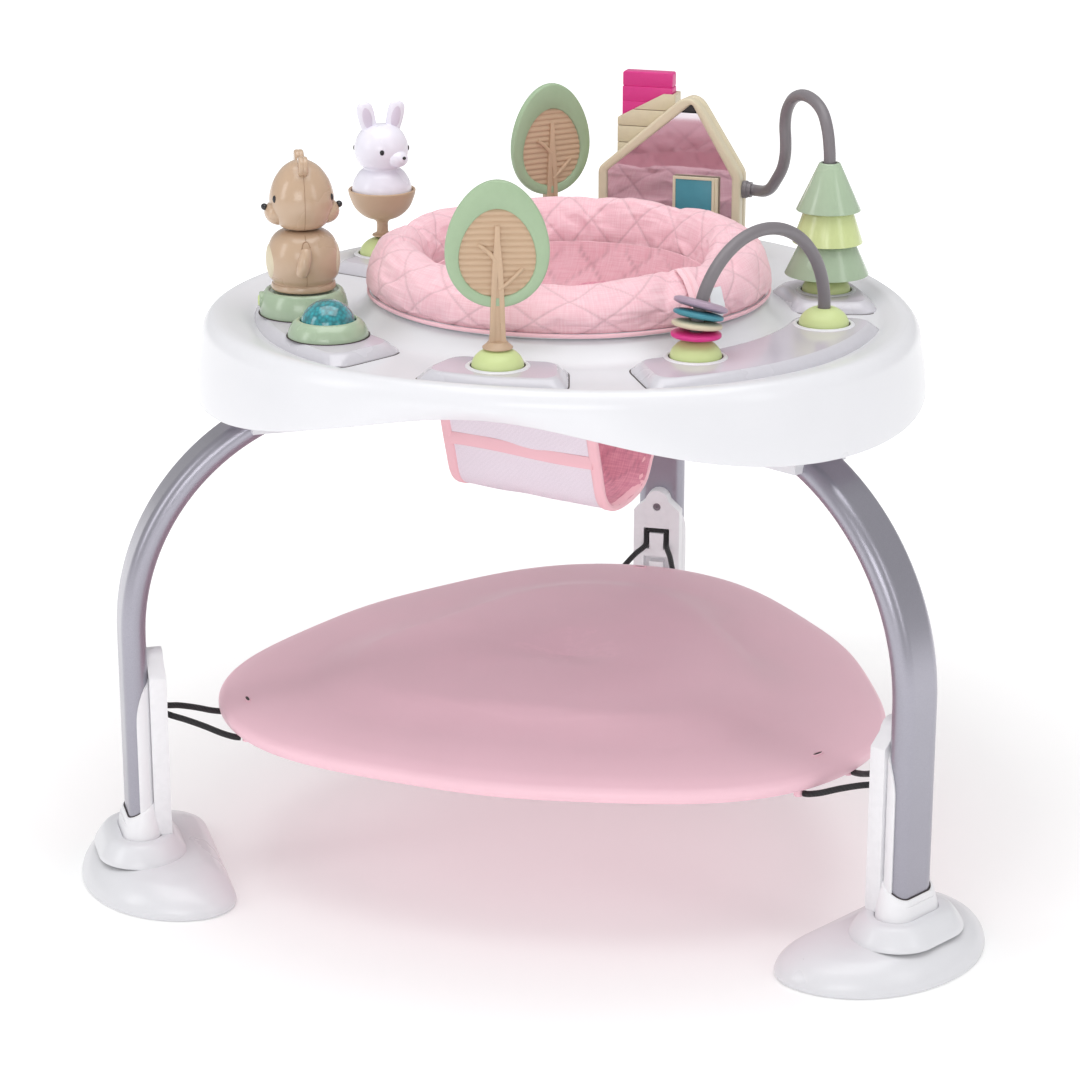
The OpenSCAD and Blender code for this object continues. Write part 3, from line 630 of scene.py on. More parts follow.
def addDome(name, place, replaces=()):
    r, h = domeLook["radius"], domeLook["height"]
    crown = [(r * math.cos(math.radians(t)),
              h / math.sin(math.radians(64)) * math.sin(math.radians(t))) for t in range(0, 65, 4)]
    build("dome_" + name, *lathe([(r, -1)] + crown + [(r * 0.3, h + 0.2), (5.4, h - 0.6), (4.4, h - 3)]), "lime",
          "frame", placing=stand(*place, 490), replaces=replaces)
    build("domeRing_" + name, *lathe(fillet([(22.2, -0.6), (22.2, 1.2), (24.6, 1.2), (26.4, -0.4)], 1.2)), "white",
          "frame", placing=stand(*place, 490))
    # A thin dark ring between the dome and its white ring: painted shade in the gap.
    build("domeShadowGap_" + name, *lathe([(20.9, 0.4), (22.3, 0.4), (22.3, 0.1), (20.9, 0.1)]), "gap", "frame",
          placing=stand(*place, 490))


for name in ("frontTree", "backTree", "bunny", "pine"):
    addDome(name, spots[name], ["toy_domes"] if name == "frontTree" else [])
addDome("archLeft", archEnds[0])
addDome("archRight", archEnds[1])

print("stage: legs, feet and board")


def softened(node, name, finish, body, edge):
    # The CAD shape with rounded edges, as a new piece that stands for it.
    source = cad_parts[node]
    piece = newObject(name, source.data.copy())
    work = bmesh.new()
    work.from_mesh(piece.data)
    bmesh.ops.remove_doubles(work, verts=work.verts, dist=1e-5)
    bmesh.ops.dissolve_limit(work, angle_limit=0.02, verts=work.verts, edges=work.edges)
    work.to_mesh(piece.data)
    work.free()
    return finishPiece(piece, finish, body, sharp=35, bevel=edge, rounds=3, replaces=[node])


foot = {"middle": 352, "reach": 437, "half": 105, "inner": 315, "corner": 35, "centre": 378, "leg": 386}


def footOutline(scale, z, steps=96):
    ring = []
    for j in range(steps):
        t = 4 * j / steps
        if t < 2:
            x = foot["middle"] + (foot["reach"] - foot["middle"]) * math.sin(math.pi / 2 * t)
            y = -foot["half"] * math.cos(math.pi / 2 * t)
        else:
            u, side = (math.pi / 2 * (t - 2), 1) if t < 3 else (math.pi / 2 * (4 - t), -1)
            x = foot["middle"] - (foot["middle"] - foot["inner"]) * math.sin(u)
            y = side * (foot["half"] - foot["corner"] * (1 - math.cos(u)))
        ring.append((foot["centre"] + scale * (x - foot["centre"]), scale * y, z))
    return ring


def stadium(a, b, z, steps=64):
    ring = []
    for j in range(steps):
        t = 2 * math.pi * (j + 0.5) / steps
        ring.append((foot["leg"] + a * math.cos(t), (b - a) * (1 if math.sin(t) > 0 else -1) + a * math.sin(t), z))
    return ring


post = {"low": 58, "tall": 130, "levels": 24, "wrap": 96, "roundFrom": 150, "round": 39, "half": 10.5, "side": 12,
        "wall": (1.9, 0.2)}


def addLeg(name):
    low = fillet([(0.9, 1), (0.99, 1), (1.0, 4), (0.975, 11), (0.90, 19), (0.77, 26), (0.60, 30), (0.40, 31)],
                 [0.1, 1, 3, 5, 6, 6, 5, 1], steps=3)
    build("footBase_" + name, *loft([footOutline(p.x, p.y) for p in low]), "white", "frame", onLeg(name), sharp=50,
          replaces=["foot_base_" + name])
    cap = fillet([(38, 29.5), (37, 33), (34, 38), (30.5, 43), (27, 46.5), (22.5, 47.5), (17, 47), (16.6, 44)], 3.5,
                 steps=3)
    build("footCap_" + name, *loft([stadium(p.x, p.x + 15, p.y) for p in cap], capped=False), "white", "frame",
          onLeg(name), sharp=50, replaces=["foot_cap_" + name])
    rows = []
    for a, z, high in ((16.6, 45, 0), (15.6, 52, 0.3), (13.2, 62, 1), (12.2, 64, 1), (11.0, 64, 1), (11.0, 50, 0)):
        ring = stadium(a, a + 12 + 0.55 * (a - 11), 0)
        rows.append([(x, y, z + high * (6 - 7 * (x - foot["leg"]) / a)) for x, y, _ in ring])
    build("postCollar_" + name, *loft(rows, capped=False), "post", "frame", onLeg(name), sharp=60)
    rim = [Vector((x, y, 64.2 + 6 - 7 * (x - foot["leg"]) / 11.2)) for x, y, _ in stadium(11.2, 23.2, 0)]
    shell = []
    count = post["levels"]
    for k in range(count + 1):
        z = post["low"] + post["tall"] * k / count
        spread = post["wrap"] * math.sqrt(max(0.0, 1 - max(0.0, (z - post["roundFrom"]) / post["round"]) ** 2)) + 4
        arc = [math.radians(180 + spread * (2 * i / count - 1)) for i in range(count + 1)]
        far, near = ([(foot["leg"] + (post["half"] + wall) * math.cos(t),
                       post["side"] * math.tanh(3 * math.sin(t)) + (post["half"] + wall) * math.sin(t), z)
                      for t in arc] for wall in post["wall"])
        shell.append(far + near[::-1])
    build("postShell_" + name, *loft(shell), "post", "frame", onLeg(name), sharp=50)
    # A thin dark line round the collar's top edge: painted shade where the collar meets the post.
    build("collarShadowLine_" + name, *rod(rim + rim[:1], 0.45, 8), "gap", "frame", onLeg(name))
    softened("leg_shroud_" + name, "legPost_" + name, "post", "frame", 1.2)
    paintCarried("leg_tube_" + name, "legPaint")


for name in legAngles:
    addLeg(name)

board = {"radius": 285, "lobe": 24.6, "lobe6": 2.6, "edgeZ": 147, "crown": 20, "hump": 9.0, "humpAt": 176, "steps": 216}


def boardEdge(a):
    return board["radius"] + board["lobe"] * lobe(a) + board["lobe6"] * lobe(a, 6) - lobe(a, 9)


def addBoard():
    c = board["crown"]
    section = [(0.00005, 0, c), (0.25, 0, c - 0.6), (0.5, 0, 0.88 * c), (0.8, 0, 0.6 * c), (0.94, 0, 0.40 * c),
               (1, 4, 3.9), (1, 0.3, 0.5), (1, 0, -4),
               (1, 2, -8), (1, 5, -8), (1, 5, -3), (0.95, 1, 0.15 * c - 3), (0.8, 0, 0.5 * c - 3),
               (0.5, 0, 0.84 * c - 3), (0.00005, 0, c - 3)]
    bend = [0, 30, 40, 30, 14, 6, 2, 4, 2, 2, 3, 10, 20, 30, 0]
    rings = []
    for i in range(board["steps"]):
        a = 360 * i / board["steps"]
        line = fillet([(s * boardEdge(a) - inset, dz) for s, inset, dz in section], bend, steps=7)
        ring = []
        for p in line[:44]:
            rise = 1 - smoothStep(board["humpAt"] + 24 * lobe(a) - 13, board["humpAt"] + 24 * lobe(a) + 13, p.x)
            ring.append(polar(p.x, a, board["edgeZ"] + p.y + board["hump"] * rise * smoothStep(0, 60, p.x) ** 0.3))
        ring += [polar(p.x, a, board["edgeZ"] + p.y) for p in line[44:]]
        rings.append(ring)
    build("footBoard", *loft(rings, closed=False, loop=True, capped=False), "boardPink", "foot_board", sharp=60,
          replaces=["foot_board"])
    for name in legAngles:
        place = onLeg(name) @ shift(288, 0, board["edgeZ"] + 0.4 * board["crown"] + 1.0)
        rim = frameSlab(ellipse(5, 13), ellipse(3, 11), -1.5, 0.5)
        build("boardSlot_" + name, *rim, "boardPink", "foot_board", place, bevel=0.3)
        # A dark plate inside the slot: painted shade in the slot's hole.
        build("boardSlotShadow_" + name, *slab(ellipse(3.1, 11.1), -1.5, -0.1), "gap", "foot_board", place)
        pegs = [moved(lathe(fillet([(0.01, -17), (4, -17), (4, 0), (0.01, 0)], 0.8), 24),
                      shift(295, s * 32, board["edgeZ"]))
                for s in (-1, 1)]
        build("boardPegs_" + name, *join(*pegs), "boardPink", "foot_board", onLeg(name))


addBoard()
bungee = {"radius": 2.7, "half": [(300.4, 32, 133.5), (306, 31, 134.3), (316, 28, 137.5), (330, 23, 143.5),
                                  (345, 17.5, 149),
                                  (356, 12.5, 152), (361.5, 10.4, 154.5), (364.3, 10.1, 159), (364.5, 10.1, 164.5),
                                  (364.5, 10, 167.5), (364.5, 8, 169.3), (364.5, 3, 169.3)]}


def addBungee(name):
    route = bungee["half"] + [(x, -y, z) for x, y, z in reversed(bungee["half"])]
    cord = build("bungeeCord_" + name, *rod(smoothPath(route, 5), bungee["radius"], 14), "bungee", None, onLeg(name),
                 sharp=60, replaces=["bungee_" + name])
    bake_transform(cord)


for name in legAngles:
    addBungee(name)

print("stage: seat")
seat = {"around": 300, "section": 80, "pressure": 1.8, "cap": 5.0, "diamond": 50.0, "groove": 0.4, "puff": 0.45,
        "arc": 150.0, "dip": 11.0, "dipAt": 284.0, "frames": 20, "middle": (144, 526), "headroom": 0.006}


def storeCloth(piece, across, along, stitchShade):
    for name, values in (("clothAcross", across), ("clothAlong", along), ("stitchShade", stitchShade)):
        attribute = piece.data.attributes.get(name) or piece.data.attributes.new(name, "FLOAT", "POINT")
        attribute.data.foreach_set("value", values)


def diamondLine(u, v, pitch):
    # How near a point is to a diagonal stitch line, from 0 to 1, and how high the padding stands there.
    near, puff = 0.0, 1.0
    for d in (u + v, u - v):
        gap = abs((d / pitch + 0.5) % 1 - 0.5) * pitch / math.sqrt(2)
        near = max(near, math.exp(-(gap / 0.9) ** 2))
        puff *= min(1.0, gap / 6.0) ** 0.6
    return near, puff


def padSection():
    # Bottom seam first, then up the outside, over the crest and down inside.
    line = [(140, 506), (158, 505.2), (169.6, 503.2), (168.5, 515), (165.5, 527), (160.5, 539), (153, 548),
            (144, 551.5), (135, 550.5), (127, 545), (121, 536), (118, 524), (118.5, 512), (124, 506)]
    path = fillet(line, 7, closed=True, steps=6)
    total, marks = 0.0, [0.0]
    for i in range(len(path)):
        total += (path[(i + 1) % len(path)] - path[i]).length
        marks.append(total)
    out = []
    for j in range(seat["section"]):
        want = total * j / seat["section"]
        i = max(k for k in range(len(path)) if marks[k] <= want)
        step = (marks[i + 1] - marks[i]) or 1
        out.append(path[i].lerp(path[(i + 1) % len(path)], (want - marks[i]) / step))
    return out, total


folds = [  # angle and radius of the fold's middle, its length in degrees, its depth and lean
    {"angle": 232, "radius": 124, "length": 15, "depth": 4.0, "lean": 0.8},
    {"angle": 203, "radius": 138, "length": 9, "depth": 5.0, "lean": -0.6},
    {"angle": 178, "radius": 128, "length": 8, "depth": 4.5, "lean": 0.4},
    {"angle": 318, "radius": 140, "length": 8, "depth": 3.5, "lean": 0.5},
    {"angle": 342, "radius": 150, "length": 10, "depth": 3.0, "lean": -0.3},
    {"angle": 95, "radius": 126, "length": 9, "depth": 3.5, "lean": 0.5},
    {"angle": 60, "radius": 132, "length": 12, "depth": 3.0, "lean": -0.5},
    {"angle": 20, "radius": 146, "length": 9, "depth": 2.5, "lean": 0.3}]


def foldDepth(a, p):
    depth = 0.0
    for f in folds:
        da = (a - f["angle"] + 180) % 360 - 180
        across = da + f["lean"] * (p.x - f["radius"]) * 0.5
        alongFold = math.exp(-(across / (f["length"] * 0.32)) ** 2)
        depth += f["depth"] * alongFold * math.exp(-((p.x - f["radius"]) / 16) ** 2)
    return depth * smoothStep(512, 530, p.y)


def addPad():
    line, total = padSection()
    n, m = seat["around"], seat["section"]
    points = []
    for i in range(n):
        a = 360 * i / n
        for p in line:
            soft = noise.noise(Vector((math.cos(math.radians(a)) * 5, math.sin(math.radians(a)) * 5, p.y / 26)))
            sag = foldDepth(a, p) + 1.6 * soft * smoothStep(508, 526, p.y)
            inward = (Vector((144, 524)) - p).normalized()
            q = p + inward * sag
            away = (a - seat["dipAt"] + 180) % 360 - 180
            q.y -= seat["dip"] * math.exp(-(away / 55) ** 2) * smoothStep(508, 552, p.y)
            points.append(polar(q.x, a, q.y))
    faces = [(i * m + j, ((i + 1) % n) * m + j, ((i + 1) % n) * m + (j + 1) % m,
              i * m + (j + 1) % m) for i in range(n) for j in range(m)]
    mesh = bpy.data.meshes.new("seatCushion")
    mesh.from_pydata([atSeat @ Vector(p) for p in points], [], faces)
    cushion = newObject("seatCushion", mesh)
    storeCloth(cushion, [0.0] * len(points), [(k % m) * total / m for k in range(len(points))], [0.0] * len(points))
    start = [v.co.copy() for v in mesh.vertices]
    pinned = cushion.vertex_groups.new(name="sewn")
    pinned.add([k for k in range(len(points)) if points[k][2] < 509], 1.0, "REPLACE")
    cloth = cushion.modifiers.new("cloth", "CLOTH")
    cloth.settings.vertex_group_mass = "sewn"
    cloth.settings.use_pressure, cloth.settings.uniform_pressure_force = True, seat["pressure"]
    cloth.settings.effector_weights.gravity = 0
    cloth.settings.tension_stiffness = cloth.settings.compression_stiffness = 12
    cloth.settings.shear_stiffness, cloth.settings.bending_stiffness = 4, 0.25
    cloth.settings.shrink_min = -0.05
    cloth.settings.quality = 4
    cloth.collision_settings.use_collision = False
    for step in range(1, seat["frames"] + 1):
        bpy.context.scene.frame_set(step)
    applyAll(cushion)
    for v, was in zip(cushion.data.vertices, start):
        swell = v.co - was
        if swell.length > seat["cap"] / 1000:
            v.co = was + swell.normalized() * seat["cap"] / 1000
    bpy.context.scene.frame_set(1)
    finer = cushion.modifiers.new("finer", "SUBSURF")
    finer.levels = finer.render_levels = 1
    applyAll(cushion)
    mesh = cushion.data
    along = [0.0] * len(mesh.vertices)
    mesh.attributes["clothAlong"].data.foreach_get("value", along)
    across, stitchShade, moves = [], [], []
    for v, depth in zip(mesh.vertices, along):
        u = math.atan2(v.co.y - seatAxisY, v.co.x) * seat["arc"] + 471.24
        pitch = 2 * math.pi * seat["arc"] / round(2 * math.pi * seat["arc"] / seat["diamond"])
        near, puff = diamondLine(u, depth, pitch)
        covered = smoothStep(6, 16, depth) * smoothStep(total - 4, total - 14, depth)
        across.append(u)
        # This mask darkens the cloth along the sewn lines as painted shade in the quilting creases.
        stitchShade.append(near * covered)
        moves.append(v.normal * (seat["puff"] * (puff - 0.6) - seat["groove"] * near) * covered * 0.001)
    for v, move in zip(mesh.vertices, moves):
        v.co += move
    for v in mesh.vertices:
        v.co.z = min(v.co.z, seatHigh.z + seat["headroom"])
    storeCloth(cushion, across, along, stitchShade)
    finishPiece(cushion, "quilt", "seat", sharp=180, replaces=["seat_pad"])
    return cushion


def clothSheet(name, grid, finish, body, thickness=1.0, quilt=0.0, replaces=()):
    # A sheet of cloth from rows of points, in millimetres, with cloth coordinates and, if asked, sewn diamonds.
    rows, columns = len(grid), len(grid[0])
    points = [p for row in grid for p in row]
    faces = [(i * columns + j, i * columns + j + 1, (i + 1) * columns + j + 1, (i + 1) * columns + j)
             for i in range(rows - 1) for j in range(columns - 1)]
    mesh = bpy.data.meshes.new(name)
    mesh.from_pydata([atSeat @ Vector(p) for p in points], [], faces)
    piece = newObject(name, mesh)
    across, along = [0.0] * len(points), [0.0] * len(points)
    for i in range(rows):
        for j in range(columns):
            k = i * columns + j
            across[k] = across[k - 1] + (Vector(points[k]) - Vector(points[k - 1])).length if j else 0.0
            along[k] = along[k - columns] + (Vector(points[k]) - Vector(points[k - columns])).length if i else 0.0
    marks = [diamondLine(u, v, quilt) if quilt else (0.0, 0.6) for u, v in zip(across, along)]
    if quilt:
        for v, (near, puff) in zip(mesh.vertices, marks):
            v.co += v.normal * 0.001 * (1.0 * (puff - 0.6) - 0.6 * near)
    storeCloth(piece, across, along, [near for near, puff in marks])
    thick = piece.modifiers.new("thick", "SOLIDIFY")
    thick.thickness, thick.offset = thickness / 1000, 0
    return finishPiece(piece, finish, body, sharp=60, replaces=replaces)


def addSeatTrim():
    wall = fillet([(117, 516), (116, 500), (113, 484), (108, 468), (104, 452)], 8, steps=4)
    liner = []
    for p in wall:
        row = []
        for i in range(241):
            a = 360 * i / 240
            wave = 1.6 * noise.noise(Vector((math.cos(math.radians(a)) * 4, math.sin(math.radians(a)) * 4, p.y / 30)))
            row.append(polar(p.x + wave, a, p.y))
        liner.append(row)
    clothSheet("seatLiner", liner, "quilt", "seat", 1.2, quilt=42.0)
    hemLine = [polar(171.2 + 0.3 * math.sin(math.radians(a * 9)), a,
                     503.4 + 0.3 * math.sin(math.radians(a * 7))) for a in range(0, 361, 2)]
    build("cushionHem", *rod(hemLine, 1.7, 12, flat=1.1), "quilt", "seat", sharp=80)


strap = {"angle": 322.5, "width": 12.0}


def ribbon(path, width, thick, sideways):
    # A flat band along a path, from a rectangle with rounded corners.
    rings = []
    for i, p in enumerate(path):
        ahead = (path[min(i + 1, len(path) - 1)] - path[max(i - 1, 0)]).normalized()
        side = (Vector(sideways) - ahead * ahead.dot(Vector(sideways))).normalized()
        face = ahead.cross(side)
        corners = fillet([(-width / 2, -thick / 2), (width / 2, -thick / 2), (width / 2, thick / 2),
                          (-width / 2, thick / 2)], thick * 0.45,
                         closed=True, steps=2)
        rings.append([p + side * c.x + face * c.y for c in corners])
    return loft(rings)


def addLoopAndTag(cushion):
    a, side = strap["angle"], polar(1, strap["angle"] + 90)
    world = cushion.matrix_world.inverted()

    def onPad(radius, height, angle, proud):
        # The point on the cushion straight towards the middle of its padding.
        middle = polar(seat["middle"][0], angle, seat["middle"][1])
        start = middle + (polar(radius, angle, height) - middle).normalized() * 60
        origin, target = world @ (atSeat @ start), world @ (atSeat @ middle)
        hit, place, *_ = cushion.ray_cast(origin, (target - origin).normalized(), distance=0.08)
        found = atSeat.inverted() @ (cushion.matrix_world @ place) if hit else polar(radius, angle, height)
        return found + (found - middle).normalized() * proud

    route = [onPad(148 + 3 * k, 556 - 6.4 * k, a - 0.35 * k, 1.4 if k in (0, 7) else 2.4) for k in range(8)]
    path = smoothPath(route, 5)
    build("webbingLoop", *ribbon(path, strap["width"], 1.8, side), "webbing", "seat", sharp=60)
    build("webbingRidge", *ribbon([p + (p - polar(seat["middle"][0], a,
            seat["middle"][1])).normalized() * 1.0 for p in path], 2.4, 0.9, side), "binding", "seat", sharp=60)
    low = [onPad(171, 532 - 5 * k, a + 6.2, 2.0) for k in range(6)]
    build("blankTag", *ribbon(smoothPath(low, 4), 15.0, 0.8, polar(1, a + 96)), "tag", "seat", sharp=60)


sling = {"z": 329, "shift": 42, "length": 156, "turn": -18, "half": [(30, 9), (44, 38), (58, 76), (76, 110),
        (104, 142), (140, 160)]}


def slingCurve(drop=0.0):
    front = [(-x * (150 - sling["shift"]) / 150 + drop, sling["z"] + z + drop * 0.6) for x,
             z in reversed(sling["half"])]
    back = [(x * (150 + sling["shift"]) / 150 - drop, sling["z"] + z + drop * 0.6) for x, z in sling["half"]]
    return smoothPath([(x, z, 0) for x, z in front + [(0, sling["z"] + drop)] + back], 7)


def addSling():
    place = turn("Z", sling["turn"])
    half = sling["length"] / 2
    curves = {"slingMesh": (slingCurve(0), "mesh", 0.0, 0.8), "slingLining": (slingCurve(2.6), "lining", 36.0, 1.2)}
    for name, (curve, finish, quilt, thick) in curves.items():
        grid = []
        for p in curve:
            row = []
            for j in range(79):
                x = -half + 2 * half * j / 78
                ripple = 1.2 * noise.noise(Vector((x / 40, p.x / 35, p.y / 50)))
                row.append(place @ Vector((x, p.x - sling["shift"] + ripple, p.y + ripple * 0.6)))
            grid.append(row)
        sheet = clothSheet(name, grid, finish, "seat", thick, quilt, ["seat_sling"] if name == "slingMesh" else ())
    edge = [place @ Vector((0, p.x - sling["shift"], p.y + 0.8)) for p in slingCurve(0.4)]
    for s, name in ((-1, "Left"), (1, "Right")):
        side = place @ Vector((s * (half - 4), 0, 0))
        build("slingBinding" + name, *ribbon([p + side for p in edge], 10, 5.0, place @ Vector((1, 0, 0))), "binding",
              "seat", sharp=60)
    curve = slingCurve(-0.6)
    level = min(curve[:len(curve) // 2], key=lambda p: abs(p.y - 379))
    band = [place @ Vector((x, level.x - sling["shift"] - 0.6,
                            level.y + 3 * math.sin((x + half) / 25) * 0.3)) for x in range(-72, 73, 6)]
    build("slingBand", *ribbon(band, 11, 1.6, (0, 0, 1)), "binding", "seat", sharp=60)


cushion = addPad()
addSeatTrim()
addLoopAndTag(cushion)
addSling()

print("stage: toys")
upright = Matrix(((0, 0, 1, 0), (1, 0, 0, 0), (0, 1, 0, 0), (0, 0, 0, 1)))  # local x across, y up, z towards the front
tree = {"width": 82, "height": 102, "thick": 7, "panelWidth": 60, "panelHeight": 70, "panelUp": 9, "pitch": 5.0,
        "base": 537.5}


def eggOutline(width, height, lift=0.0, count=96):
    return [(width / 2 * math.cos(t) * (1 - 0.13 * math.sin(t)), lift + height / 2 * (1 + math.sin(t)))
            for t in (2 * math.pi * k / count for k in range(count))]


def eggHalfWidth(y, width, height, lift):
    s = min(1, max(-1, 2 * (y - lift) / height - 1))
    return width / 2 * math.sqrt(1 - s * s) * (1 - 0.13 * s)


def addTree(name, place, degrees, node, body):
    at = stand(*place, tree["base"], degrees) @ upright
    t, pw, ph, up = tree["thick"] / 2, tree["panelWidth"], tree["panelHeight"], tree["panelUp"]
    whole = lambda inset: eggOutline(tree["width"] - inset, tree["height"] - inset, inset / 2)
    opening = lambda spread: eggOutline(pw + spread, ph + spread, up - spread / 2)
    half = [(whole(0.5), t - 1.6), (whole(1.8), t - 0.4), (whole(4), t), (opening(2.0), t), (opening(0.6), t - 0.6),
            (opening(0), t - 1.8)]
    section = [(whole(0), 0)] + half + [(outline, -z) for outline, z in reversed(half)]
    rings = [[(x, y, z) for x, y in outline] for outline, z in section]
    build(name + "Crown", *loft(rings, loop=True), "sage", body, at, sharp=50, replaces=[node + "_crown"])
    # The panel's rails: rounded courses, each stepped back under the next.
    count = int(ph / tree["pitch"])
    rows = []
    for i in range(count * 6 + 1):
        y = up + 0.4 + (ph - 0.8) * i / (count * 6)
        phase = (i % 6) / 6
        rows.append((y, 1.1 + 1.1 * math.sin(math.pi * min(1, phase * 1.15)) ** 0.6))
    for s, side in ((1, "Front"), (-1, "Back")):
        points = []
        for y, depth in rows:
            w = eggHalfWidth(y, pw, ph, up)
            points += [(-w + 2 * w * j / 12, y, s * depth) for j in range(13)]
        faces = [(i * 13 + j, i * 13 + j + 1, (i + 1) * 13 + j + 1,
                  (i + 1) * 13 + j) for i in range(len(rows) - 1) for j in range(12)]
        build(name + "Panel" + side, points, faces, "tan", body, at, sharp=30,
              replaces=[node + "_trunk"] if s == 1 else [])
    edge = [Vector((x, y, 0)) for x, y in opening(-0.2)]
    build(name + "PanelEdge", *rod(edge + edge[:1], 0.7, 8, flat=2.1), "tan", body, at)
    trunk, groove = ([(-x, y) for x, y in line] + line[::-1] for line in (
        [(7.6, -31.5), (6.2, -22), (5.4, 5), (4.4, 30), (2.4, 52), (1.7, 66)],
        [(2.6, -29), (2.1, -12), (1.2, 10), (0.5, 21), (0.2, 25), (0.05, 26)]))
    build(name + "Trunk", *frameSlab(trunk, groove, -4.2, 4.2), "tan", body, at, bevel=0.5, rounds=3)
    build(name + "TrunkWeb", *slab(groove, -3.4, 3.4), "tan", body, at)
    branches = [[(-1, 38), (-7, 45), (-14.8, 51)], [(1, 15), (9, 21), (20, 31.5)]]
    for i, b in enumerate(branches):
        for s, side in ((1, "Front"), (-1, "Back")):
            path = smoothPath([(x, y, s * 2.7) for x, y in b], 6)
            build(name + "Branch" + str(i) + side, *rod(path, lambda f: 2.0 - 0.5 * f, 14), "tan", body, at)
    base = fillet([(0, 0.3), (12, 0.3), (12.3, 1.4), (9.4, 3.8), (7.6, 6), (0, 6)], 1.2, steps=4)
    build(name + "TrunkFoot", *lathe(base, 48), "tan", body, stand(*place, 504.2))


addTree("frontTree", spots["frontTree"], 288, "front_tree", "front_tree")
addTree("backTree", spots["backTree"], 316, "back_tree", "back_tree")

bear = {"turn": 205, "muzzleZ": 576.5, "eyeZ": 590}
bearBody = fillet([(0.01, 511.5), (27, 511.5), (27.4, 514), (26.6, 516.8), (25.2, 517.4), (28.6, 522), (31, 533),
                   (30.2, 545), (25.5, 556), (18, 561.5), (0.01, 562)], [0, 1, 1.5, 1.2, 1, 6, 8, 8, 8, 6, 0], steps=5)
bearHead = fillet([(0.01, 562.8), (16, 562.8), (22.0, 568), (26.8, 579), (27.4, 590), (23.6, 603.5), (15.5, 614.5),
                   (7, 619.6), (0.01, 620)],
                  [0, 4, 7, 9, 9, 9, 8, 6, 0], steps=6)


def radiusAt(profile, height):
    best = 0.0
    for a, b in zip(profile, profile[1:]):
        if min(a.y, b.y) <= height <= max(a.y, b.y) and abs(a.y - b.y) > 1e-6:
            best = max(best, a.x + (b.x - a.x) * (height - a.y) / (b.y - a.y))
    return best


def patchOn(profile, angle, height, spread, rise, proud=0.45, rings=9, steps=36):
    # A thin oval patch that follows a turned shape.
    points = [polar(radiusAt(profile, height) + proud, angle, height)]
    for i in range(1, rings + 1):
        f = i / rings
        for k in range(steps):
            t = 2 * math.pi * k / steps
            z = height + rise * f * math.sin(t)
            lift = proud if i < rings else -0.4
            points.append(polar(radiusAt(profile, z) + lift, angle + spread * f * math.cos(t), z))
    faces = [(0, 1 + k, 1 + (k + 1) % steps) for k in range(steps)]
    for i in range(rings - 1):
        a, b = 1 + i * steps, 1 + (i + 1) * steps
        faces += [(a + k, b + k, b + (k + 1) % steps, a + (k + 1) % steps) for k in range(steps)]
    return points, faces


def seamOn(profile, angle, low, high, radius=0.28):
    path = [polar(radiusAt(profile, low + (high - low) * i / 40), angle,
                  low + (high - low) * i / 40) for i in range(41)]
    return rod(path, radius, 8, up=(0.3, 0.2, 0.9))


